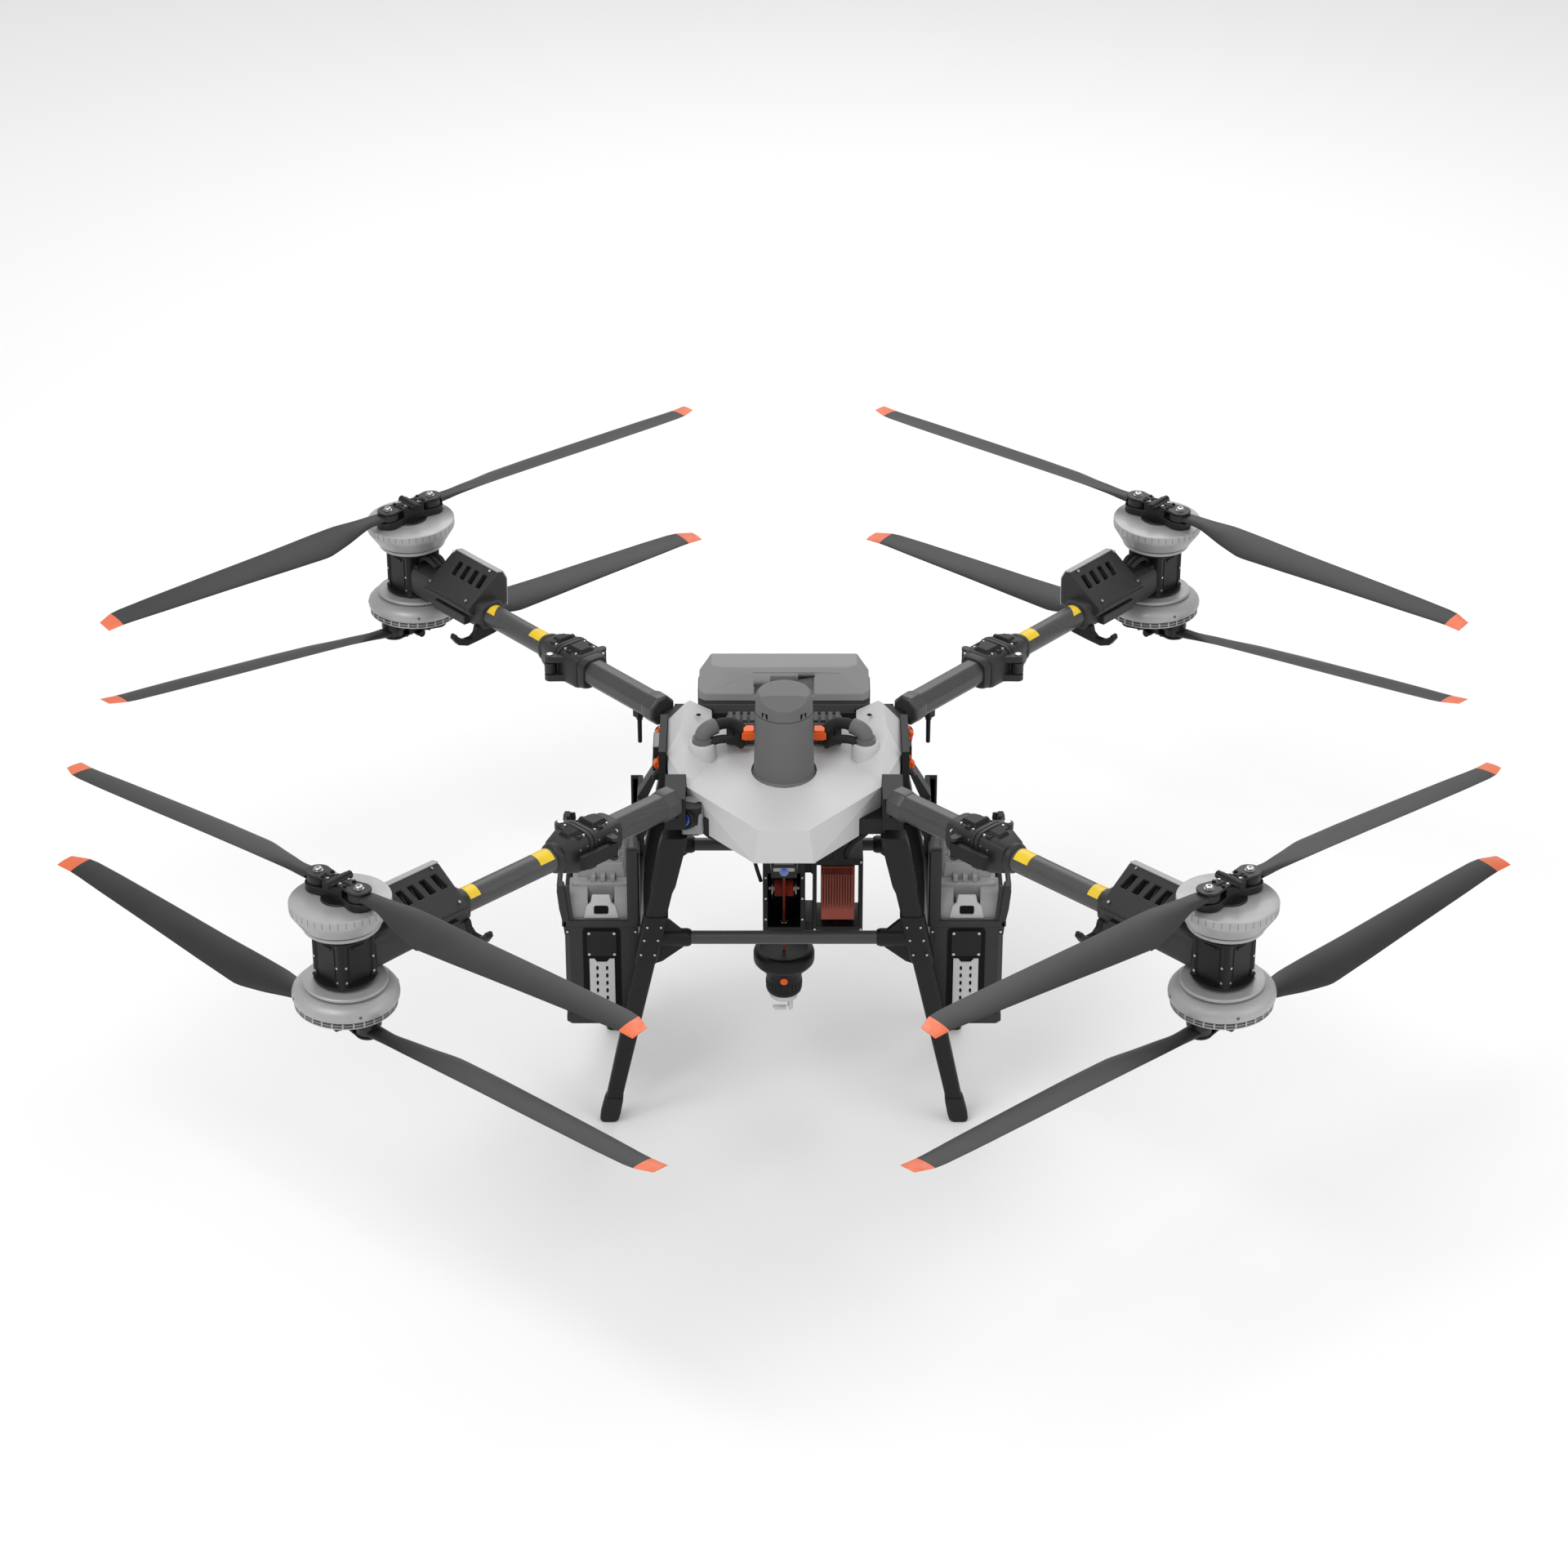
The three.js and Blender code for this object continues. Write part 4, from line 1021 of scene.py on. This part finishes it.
def shell():
    skin("top_shell", "shell", "airframe", 6, 4, 12)
    # Dark discs and dots for the screw wells: painted shade in the holes.
    wells = Shape()
    for s in (-1, 1):
        wells.lathe(((0, 0), (5, 0), (5, 1.5), (0, 1.5)), 32, Matrix.Translation((s * 176, 62, 833)))
        wells.rod((s * 132, -176, 752), (s * 133, -179, 750), 3, sides=20)
    wells.piece("shell_screw_wells", "dark", "airframe", 0.4)
    for name, s in HANDS:
        cup = Shape(Matrix.Translation((s * 166, -40, 0)))
        cup.lathe(((0, 790), (29, 790), (28, 812), (27, 824), (25.6, 826.5), (23.4, 826.5), (22.6, 824),
                   (22.6, 815), (0, 815)), 64)
        cup.piece(f"elbow_cup_{name}", "shell", "airframe", 0)


def elbows():
    """Grey elbows with black hoses that run to orange plugs and connector blocks beside the mast."""
    for name, s in HANDS:
        elbow = Shape()
        elbow.rod((s * 166, -40, 812), (s * 166, -40, 836), 22, 21)
        elbow.tube([(s * 166, -40, 826), (s * 164, -39, 843), (s * 154, -34, 852), (s * 140, -26, 855)], 17)
        elbow.piece(f"hose_elbow_{name}", "mast", "airframe", 2, 3)
        hose = Shape()
        hose.tube([(s * 146, -30, 853), (s * 128, -18, 856), (s * 104, -8, 850), (s * 84, -12, 838)], 12)
        hose.tube([(s * 150, -44, 826), (s * 134, -42, 832), (s * 108, -34, 828), (s * 84, -28, 812)], 9)
        hose.piece(f"power_hose_{name}", "hose", "airframe")
        plug = Shape(Matrix.Translation((s * 72, -22, 836)))
        plug.plate(rounded((-11, 11), (-13, 13), 4), -11, 12)
        plug.box((-14, 14), (-15.5, -12), (-8, 8))
        plug.piece(f"power_plug_{name}", "orange", "airframe", 2, 3)
        block = Shape()
        block.box(span(s, 56, 118), (4, 52), (796, 840))
        for k in range(4):
            x = span(s, 60 + k * 15, 70 + k * 15)
            block.box(x, (-3, 6), (800, 846))
            block.box(x, (8, 46), (838, 850))
        block.piece(f"connector_block_{name}", "canister_dark", "airframe", 1.2)


def mast():
    low, high = box_mm("antenna_mast")
    centre_y = (low[1] + high[1]) / 2
    at = Matrix.Translation((0, centre_y, 0))
    base = low[2]
    body = Shape(at)
    body.lathe(((0, base), (65, base), (66, base + 1), (66, base + 3.5), (64, base + 5), (61.6, base + 8),
                (60.4, base + 60), (58.2, base + 145), (57.6, base + 176), (56, base + 183), (52, base + 188),
                (40, base + 189.4), (0, base + 189.6)))
    slant = Shape(at)
    slant.box((-80, 80), (-80, 80), (0, 60),
              Matrix.Translation((0, -22, high[2] - 1)) @ Matrix.Rotation(math.radians(26), 4, "X"))
    body.piece("antenna_mast_cover", "mast", "airframe", 3, 4, 20, stands_for=["antenna_mast"], carve=slant)
    # Dark patches for the vent openings: painted shade.
    vents = Shape(at)
    for s in (-1, 1):
        vents.hull([(s * x, y, z) for x, y in ((33, -48.4), (45, -37.2), (32, -40), (42, -32))
                    for z in (927, 939)])
    vents.piece("mast_vents", "dark", "airframe", 0.6)
    ring = Shape(at)
    ring.lathe(((0, 924), (58.7, 924), (58.95, 924.6), (58.8, 925.4), (0, 925.4)))
    ring.piece("mast_cap_seam", "canister_dark", "airframe")


def canister():
    """The chamfered lid with a notch behind the mast, and its darker base."""
    lid = Shape()
    lid.hull([(s * x, y, z) for s in (-1, 1) for x, y, z in (
        (164, 122, 834), (177, 133, 834), (177, 226, 834), (164, 234, 834),
        (163, 123, 850), (177, 134, 854), (177, 225, 854), (164, 234, 854),
        (118, 152, 886), (152, 170, 894), (152, 222, 894), (128, 160, 892))])
    notch = Shape().box((-62, 62), (100, 150), (846, 900))
    lid.piece("canister_lid", "canister", "airframe", 4, 4, 12,
              stands_for=["parachute_canister"], carve=notch)
    base = Shape()
    base.plate(rounded((-177, 177), (122, 234), 14), 803.5, 826)
    base.plate(rounded((-173, 173), (126, 230), 12), 824, 836)
    base.piece("canister_base", "canister_dark", "airframe", 2, 3)
    ribs = Shape()
    for s in (-1, 1):
        ribs.box(span(s, 176, 179), (150, 208), (808, 846))
        ribs.rod((s * 150, 119, 812), (s * 150, 124, 812), 4, sides=20)
    ribs.piece("canister_straps", "black", "airframe", 1)


def side_fittings():
    """The orange clips and dark straps on both sides, and the module on the left."""
    for name, s in HANDS:
        clip = Shape()
        for y, z in ((-34, 774), (60, 792)):
            clip.box(span(s, 243, 259), (y - 9, y + 9), (z - 12, z + 14))
            clip.tube([(s * 256, y - 10, z + 12), (s * 263, y - 4, z + 2), (s * 259, y + 4, z - 14)], 5)
        clip.piece(f"side_clips_{name}", "orange", "airframe", 1.5)
        strap = Shape()
        strap.box(span(s, 242, 262), (-14, 14), (744, 800))
        strap.box(span(s, 242, 258), (34, 44), (740, 806))
        strap.tube([(s * 250, -52, 770), (s * 264, -40, 752), (s * 262, 10, 738), (s * 256, 60, 744)], 6)
        strap.tube([(s * 248, 76, 800), (s * 262, 84, 784), (s * 258, 92, 752)], 6)
        strap.piece(f"side_straps_{name}", "black", "airframe", 1.5)
    module = Shape()
    module.hull(both_sides(((-269, 33, 770), (-252, 33, 770), (-267, 30, 810), (-243, 30, 812))))
    module.piece("side_module_cover", "canister", "airframe", 3, 3)
    box = Shape()
    box.box((-270, -254), (-28, 28), (730, 772))
    box.piece("side_module_base", "cage", "airframe", 3, 3)


def cameras():
    """The blue-lens camera beside the nose and the small camera under its tip."""
    shroud = Shape()
    shroud.hull(((-206, -212, 704), (-164, -212, 704), (-206, -160, 704), (-164, -160, 704),
                 (-196, -206, 756), (-166, -208, 748), (-204, -162, 768), (-166, -162, 772),
                 (-160, -190, 716), (-160, -170, 760)))
    shroud.piece("side_camera_shroud", "canister", "airframe", 4, 3)
    look_at = Vector((-0.55, -0.80, 0.22)).to_track_quat("Z", "Y").to_matrix().to_4x4()
    aim = Matrix.Translation((-196, -202, 738)) @ look_at
    rim = Shape(aim)
    rim.lathe(((0, -14), (22, -14), (22, 10), (20, 13), (17.5, 13), (16.5, 9), (0, 9)), 48)
    rim.piece("side_camera_rim", "black", "airframe", 0.8)
    glass = Shape(aim)
    glass.lathe(((0, 6), (16, 6), (16.2, 8.5), (13, 11.5), (7, 13.6), (0, 14.4)), 48)
    glass.piece("side_camera_lens", "lens", "airframe", angle=50)
    nose = Shape()
    nose.hull([(s * x, y, z) for s in (-1, 1) for x, y, z in (
        (26, -300, 664), (22, -303, 676), (20, -300, 688), (26, -262, 688), (28, -262, 664), (20, -296, 657),
        (22, -262, 657))])
    nose.piece("nose_camera_hood", "canister", "airframe", 3, 3)
    lens = Shape(Matrix.Translation((0, -302.5, 671)) @ Matrix.Rotation(math.pi / 2, 4, "X"))
    lens.lathe(((0, -4), (9, -4), (9, 0.6), (7.6, 1.4), (7, 0.2), (4, 1), (0, 1.3)), 40)
    lens.piece("nose_camera_lens", "lens", "airframe", angle=50)


def battery(side):
    """The battery pack: a ribbed, stepped top with two lobes at each end and a pale carrying latch."""
    s = 1 if side == "right" else -1
    at = Matrix.Diagonal((s, 1, 1, 1))
    body = f"pack_{side}"
    case = Shape(at)
    case.box((308.5, 443.5), (-145, 145), (228, 470))
    case.hull([(x, y, z) for x in (316, 436) for y in (-118, 118) for z in (466, 536)])
    case.hull([(x, t * y, z) for t in (-1, 1) for x, y, z in (
        (326, 96, 534), (426, 96, 534), (332, 84, 566), (420, 84, 566))])
    for t in (-1, 1):
        for x0, x1 in ((310, 349), (403, 442)):
            case.hull([(x, t * y, z) for x in (x0, x1) for y, z in (
                (145, 468), (145, 506), (132, 524), (96, 540), (90, 468))])
        case.hull([(x, t * y, z) for x in (353, 399)
                   for y, z in ((140, 468), (140, 488), (96, 528), (90, 468))])
    case.piece(f"battery_case_{side}", "battery", body, 3, 3, stands_for=[f"battery_{side}"])
    ribs = Shape(at)
    for k in range(7):
        y = -72 + k * 24
        corners = both_sides(((334, 8, 564), (418, 8, 564), (340, 6, 577), (412, 6, 577)))
        ribs.hull([(x, y + d, z) for x, d, z in corners])
    for t in (-1, 1):
        for x in (352, 372, 392):
            ribs.box((x - 4, x + 6), span(t, 88, 110), (532, 548))
    ribs.piece(f"battery_ribs_{side}", "battery", body, 1.5, 2)
    handle = Shape(at)
    outline = [(340, 470), (412, 470), (406, 500), (398, 506), (394, 524), (358, 524), (354, 506),
               (346, 500)]
    handle.plate(outline, 140, 147.2, UPRIGHT)
    opening = Shape(at).plate(rounded((361, 391), (478, 500), 5), 130, 160, UPRIGHT)
    handle.piece(f"battery_latch_{side}", "latch_grey", body, 1.6, 3, carve=opening)
    # A dark sheet seen through the latch's grip opening: painted shade in the hollow behind it.
    back = Shape(at)
    back.box((362, 390), (-141.5, -139.8), (478, 500))
    back.piece(f"battery_latch_recess_{side}", "dark", body)


def cage(side):
    """The battery cage: a lipped tray with corner guards, a front plate with screws and a slotted strip."""
    s = 1 if side == "right" else -1
    at = Matrix.Diagonal((s, 1, 1, 1))
    skin(f"battery_cage_{side}", "cage", "airframe", 2.2, 3)
    guard = Shape(at)
    for t in (-1, 1):
        guard.hull([(x, t * w, z) for w in (134, 158) for x, z in (
            (440, 462), (455, 462), (446, 500), (462, 498), (449, 540), (466, 540), (452, 553), (464, 553))])
        for x, near, far, z in (((296, 320), 150, 158, (462, 636)), ((296, 302), 120, 158, (462, 640)),
                                ((296, 456), 149.5, 159, (456, 470)), ((298, 452), 152, 157.5, (226, 244))):
            guard.box(x, span(t, near, far), z)
    guard.box((446, 457), (-159, 159), (456, 470))
    guard.box((295, 303), (-159, 159), (456, 470))
    guard.box((457, 466), (-150, 150), (530, 552))
    for y in (-70, 0, 70):
        guard.box((451, 456), (y - 6, y + 6), (236, 458))
    guard.piece(f"cage_guards_{side}", "cage", "airframe", 2.5, 3)
    for t, name in ((-1, "front"), (1, "back")):
        face = at @ Matrix.Diagonal((1, -t, 1, 1))
        # A thin dark panel on the cage's face: painted shade for its recess, also seen through the strip's
        # slots.
        panel = Shape(face)
        panel.plate(rounded((337, 415), (258, 452), 8), 154.6, 156.2, UPRIGHT)
        panel.piece(f"cage_recess_{side}_{name}", "dark", "airframe")
        plate = Shape(face)
        plate.plate(rounded((345, 407), (386, 446), 4), 155.6, 159, UPRIGHT)
        plate.piece(f"cage_plate_{side}_{name}", "black", "airframe", 1)
        strip = Shape(face)
        outline = [(350, 270), (402, 270), (402, 380), (392, 380), (386, 372), (366, 372), (360, 380),
                   (350, 380)]
        strip.plate(outline, 155.8, 160, UPRIGHT)
        slots = Shape(face)
        for k in range(5):
            for x in (366, 386):
                slot = rounded((x - 2.5, x + 2.5), (280 + k * 18, 291 + k * 18), 2.4)
                slots.plate(slot, 150, 166, UPRIGHT)
        strip.piece(f"cage_strip_{side}_{name}", "latch_grey", "airframe", 0.8, carve=slots)
        screws = Shape(face)
        for x in (350, 402):
            for z in (391, 441):
                screws.rod((x, -158.4, z), (x, -160.4, z), 3.2, sides=16)
        for x in (306, 446):
            for z in (256, 444):
                screws.rod((x, -154.8, z), (x, -158.4, z), 2.8, sides=16)
        screws.piece(f"cage_screws_{side}_{name}", "steel", "airframe", 0.5)


def leg_point(share):
    """A point on the leg's centre line, at a share of its length from the top."""
    return [top + (foot - top) * share for top, foot in zip(LEG_TOP, LEG_FOOT)]


def leg_section(share, half_x, half_y):
    """A level ring round the leg at a share of its length from the top."""
    x, y, z = leg_point(share)
    return [(x + a, y + b, z) for a, b in superellipse(half_x, half_y, 5, 24, 0.5)]


def leg_loft(shape, rings):
    """A skin round the leg through rings of share, half x and half y."""
    shape.loft([leg_section(*ring) for ring in rings])


def leg(place, side):
    """A leg with its thick upper sleeve, the bracket of the crossbar and a rubber foot."""
    at = Matrix.Diagonal((1 if side == "right" else -1, -1 if place == "front" else 1, 1, 1))
    name = f"{place}_leg_{side}"
    shaft = Shape(at)
    leg_loft(shaft, ((0.0, 26, 21), (0.03, 28, 22), (0.17, 26, 21), (0.19, 23, 19), (0.2, 22, 18)))
    leg_loft(shaft, ((0.18, 22.5, 18.5), (0.6, 19.5, 17.5), (0.94, 17, 15.5)))
    shaft.piece(f"{name}_shaft", "frame", "airframe", 0.8, 2, 40, stands_for=[name])
    foot = Shape(at)
    leg_loft(foot, ((0.915, 18.5, 17.5), (0.93, 20, 18.5), (0.975, 21, 20), (0.992, 20, 19),
                    (1.0, 16.5, 15.5)))
    foot.piece(f"{name}_foot", "rubber", "airframe", 0.5, 2, 50)
    bracket = Shape(at)
    leg_loft(bracket, ((0.27, 24, 21), (0.285, 26, 23), (0.42, 25, 23), (0.435, 22, 20)))
    bar_y = leg_point(1 - BAR_Z / LEG_TOP[2])[1]
    lower_gusset = ((196, -12), (256, -14), (266, -60), (250, -54))
    upper_gusset = ((206, 14), (248, 12), (242, 44), (234, 40))
    for corners in (lower_gusset, upper_gusset):
        bracket.hull([(x, bar_y + y, BAR_Z + z) for y in (-7, 7) for x, z in corners])
    bracket.piece(f"{name}_bracket", "black", "airframe", 1.6, 3)
    screws = Shape(at)
    for share in (0.30, 0.345, 0.395):
        x, y, z = leg_point(share)
        for side_x in (-14, 14):
            screws.rod((x + side_x, y + 20, z), (x + side_x, y + 25, z), 2.6, sides=14)
    screws.piece(f"{name}_screws", "steel", "airframe", 0.4)


def crossbars():
    """The round bar between the front legs, and the same bar between the rear legs."""
    bar_y = leg_point(1 - BAR_Z / LEG_TOP[2])[1]
    for name, y, stands_for in (("front", -bar_y, ["front_crossbar"]), ("rear", bar_y, [])):
        bar = Shape(Matrix.Translation((0, y, BAR_Z)))
        bar.rod((-250, 0, 0), (250, 0, 0), 14)
        bar.piece(f"{name}_bar_tube", "arm", "airframe", 0, stands_for=stands_for)
        sleeves = Shape(Matrix.Translation((0, y, BAR_Z)))
        for s in (-1, 1):
            sleeves.rod((s * 196, 0, 0), (s * 252, 0, 0), 19)
            sleeves.rod((s * 190, 0, 0), (s * 197, 0, 0), 16, 19)
        sleeves.piece(f"{name}_bar_sleeves", "black", "airframe", 1)


def winch():
    """The winch bracket with its opening, the finned motor, the drum, cables and connectors."""
    skin("winch_frame", "frame", "airframe", 1.2)
    fins = Shape()
    fins.box((77, 147), (-40, 43), (403, 531))
    for k in range(12):
        x = 78 + k * 5.6
        fins.hull([(x + dx, y, z) for dx in (0, 2.6)
                   for y, z in ((-57, 438), (-57, 522), (-38, 430), (-38, 530))])
    fins.lathe(((0, 392.5), (23, 392.5), (24, 394), (24, 406), (0, 406)), 48, Matrix.Translation((112, 0, 0)))
    fins.piece("winch_motor_fins", "fins", "airframe", 0.8, stands_for=["winch_motor"])
    drum = Shape(Matrix.Translation((0, 30, 440)) @ Matrix.Rotation(math.pi / 2, 4, "Y"))
    half_drum = ((12, 22), (24, 23), (26, 24), (26, 26), (25, 27), (8, 27), (8, 32), (7, 33.4), (0, 33.4))
    drum.lathe([(radius, -z) for radius, z in reversed(half_drum)] + list(half_drum), 64)
    drum.piece("winch_drum_turned", "steel", "drum", 0, angle=30, stands_for=["winch_drum"])
    coil = Shape(Matrix.Translation((0, 30, 440)))
    steps = 24
    last = 9 * steps  # nine turns of rope
    helix = [(-20 + 40 * i / last, 16.5 * math.cos(2 * math.pi * i / steps),
              16.5 * math.sin(2 * math.pi * i / steps)) for i in range(last + 1)]
    coil.tube(helix, 2.4, sides=10, steps=1)
    coil.piece("winch_rope_coil", "rope", "drum", angle=60)
    screws = Shape()
    for x in (-38, 38):
        for z in (386, 420, 470, 520, 590):
            screws.rod((x, -65, z), (x, -68, z), 2.6, sides=14)
    for x in (64, 160):
        for z in (386, 548):
            screws.rod((x, -49, z), (x, -52, z), 2.6, sides=14)
    screws.piece("winch_screws", "steel", "airframe", 0.4)
    parts = Shape()
    parts.box((-42, 42), (-70, -60), (600, 640))
    parts.box((-34, -6), (-78, -66), (606, 632))
    for x, z in ((-128, 664), (-96, 652), (176, 668), (142, 690), (-160, 684)):
        parts.box((x - 18, x + 18), (-52, -10), (z - 16, z + 20))
        parts.rod((x, -56, z), (x, -50, z), 9, sides=24)
        parts.rod((x - 10, -30, z - 20), (x - 10, -30, z - 8), 5, sides=20)
    parts.box((-190, 190), (-120, -96), (688, 702))
    parts.box((-190, 190), (60, 84), (688, 702))
    parts.piece("winch_connectors", "black", "airframe", 1.6, 2)
    cables = Shape()
    cables.tube([(-150, -40, 690), (-176, -50, 650), (-150, -54, 612), (-104, -44, 606), (-60, -40, 618)], 6)
    cables.tube([(150, -40, 690), (186, -44, 660), (172, -50, 622), (140, -46, 590), (124, -40, 552)], 6)
    cables.tube([(96, -46, 700), (92, -60, 650), (104, -58, 600), (108, -46, 556)], 4.5)
    cables.tube([(60, -30, 694), (56, -50, 640), (58, -52, 560), (60, -46, 520)], 4)
    cables.tube([(-60, -20, 694), (-66, -44, 640), (-62, -50, 560), (-48, -46, 500)], 4)
    for s in (-1, 1):
        cables.tube([(s * 200, -60, 704), (s * 214, -76, 668), (s * 204, -60, 640), (s * 186, -30, 660),
                     (s * 178, 0, 700)], 6)
    cables.piece("winch_cables", "hose", "airframe")


def hook():
    """The hook: a deep collar, a tapered body with an orange button, and pale jaws."""
    body = Shape()
    body.lathe(((0, 206), (33, 206), (36.5, 210), (37.5, 216), (37.5, 254), (40, 262), (50, 270),
                (59, 276), (63.5, 282), (64.5, 287), (64.5, 302), (63, 307), (59, 310.4), (52, 311),
                (46, 306), (0, 306)))
    bore = Shape().rod((0, -60, 250), (0, -24, 250), 8.6, sides=48)
    bore.rod((0, 0, 288), (0, 0, 320), 3, sides=24)
    body.piece("hook_housing", "black", "hook", 0, angle=40, stands_for=["hook_body"], carve=bore)
    trim = Shape()
    trim.lathe(((0, 270), (53, 270), (54, 271.5), (53, 273), (0, 273)))
    trim.lathe(((0, 216), (38, 216), (38.4, 217.5), (38, 219), (0, 219)))
    for k in range(24):
        turn = Matrix.Rotation(2 * math.pi * k / 24, 4, "Z")
        trim.box((36.6, 38.6), (-1.4, 1.4), (222, 238), turn)
    trim.piece("hook_trim", "frame", "hook", 0.4)
    jaws = Shape()
    jaws.lathe(((0, 192), (27, 192), (31, 196), (32.5, 207), (0, 207)), 64)
    jaws.hull(slab(((-25, 196), (-3, 196), (-24, 172), (-18, 164), (-4, 164)), -13.5, 13.5))
    jaws.hull(slab(((-24, 171), (-18, 164), (5, 164), (5, 171)), -13.5, -2))
    mouth = Shape().box((3, 34), (-15, 15), (180, 203))
    jaws.piece("hook_jaws", "jaw", "hook", 1.6, 3, carve=mouth)
    gate = Shape()
    gate.rod((14, -11.8, 193), (14, 11.8, 193), 5.9)
    gate.hull(slab(((10, 192), (19.5, 192), (19.5, 168), (16, 163.5), (10, 163.5)), -11.8, 11.8))
    gate.box((7.2, 12), (0, 11.8), (163.4, 171))
    gate.piece("hook_gate_pawl", "jaw", "gate", 1.2, 3, stands_for=["hook_gate"])
    button = Shape(Matrix.Translation((0, -41, 250)) @ Matrix.Rotation(math.pi / 2, 4, "X"))
    button.lathe(((0, -11), (7.9, -11), (7.9, -1.2), (6.8, -0.2), (3, 0), (0, 0)), 48)
    button.piece("release_button", "orange", "button", 0, angle=40, stands_for=["hook_button"])
    skin("rope", "rope", "hook", 0, 2, 60)


def build_all():
    """Every piece of the drone."""
    for tag in TAGS:
        inner_arm(tag)
        outer_arm(tag)
        latch(tag)
        controller(tag)
        for level in ("upper", "lower"):
            bell(tag, level)
            clamp(tag, level)
            for letter in ("a", "b"):
                blade(tag, level, letter)
    shell()
    elbows()
    mast()
    canister()
    side_fittings()
    cameras()
    skin("centre_frame", "frame", "airframe", 2)
    for side in ("right", "left"):
        cage(side)
        battery(side)
        leg("front", side)
        leg("rear", side)
    crossbars()
    winch()
    hook()


# ---------------------------------------------------------------- stage, light and camera
def studio():
    """A pale floor, a white world and three soft lamps; metres and watts."""
    floor = bpy.data.meshes.new("floor")
    half = 30  # metres
    corners = [(-half, -half, 0), (half, -half, 0), (half, half, 0), (-half, half, 0)]
    floor.from_pydata(corners, [], [(0, 1, 2, 3)])
    ground = bpy.data.objects.new("floor", floor)
    bpy.context.scene.collection.objects.link(ground)
    pale = Nodes("floor_pale")
    pale.set("Base Color", (0.93, 0.93, 0.93, 1))
    pale.set("Roughness", pale.ramp(pale.noise(2, 3), 0.3, 0.7, 0.85, 0.95))
    floor.materials.append(pale.material)
    world = bpy.data.worlds.new("studio")
    world.use_nodes = True
    world.node_tree.nodes["Background"].inputs["Color"].default_value = (1, 1, 1, 1)
    world.node_tree.nodes["Background"].inputs["Strength"].default_value = 0.7
    bpy.context.scene.world = world
    for name, place, size, power in (("key", (-3.0, -3.5, 6.5), 4.0, 190),
                                     ("fill", (4.5, -3.0, 4.0), 4.5, 70),
                                     ("rim", (0.5, 5.0, 5.0), 4.0, 120)):
        light = bpy.data.lights.new(name, "AREA")
        light.size = size
        light.energy = power
        lamp = bpy.data.objects.new(name, light)
        lamp.location = place
        aim = Vector((0, 0, 0.6)) - Vector(place)
        lamp.rotation_euler = aim.to_track_quat("-Z", "Y").to_euler()
        bpy.context.scene.collection.objects.link(lamp)


def camera():
    """A long lens in front of the nose, looking down at the middle of the drone; metres."""
    distance = 8.47
    elevation = math.radians(29.03)
    target = Vector((0, 0, 0.705))
    lens = bpy.data.cameras.new("camera")
    lens.lens = 94.3
    lens.sensor_width = 36
    eye_point = bpy.data.objects.new("camera", lens)
    eye_point.location = target + Vector((0, -math.cos(elevation), math.sin(elevation))) * distance
    eye_point.rotation_euler = (target - eye_point.location).to_track_quat("-Z", "Y").to_euler()
    bpy.context.scene.collection.objects.link(eye_point)
    bpy.context.scene.camera = eye_point


build_all()
studio()
camera()
bpy.context.scene.view_settings.view_transform = "Standard"
bpy.context.view_layer.update()
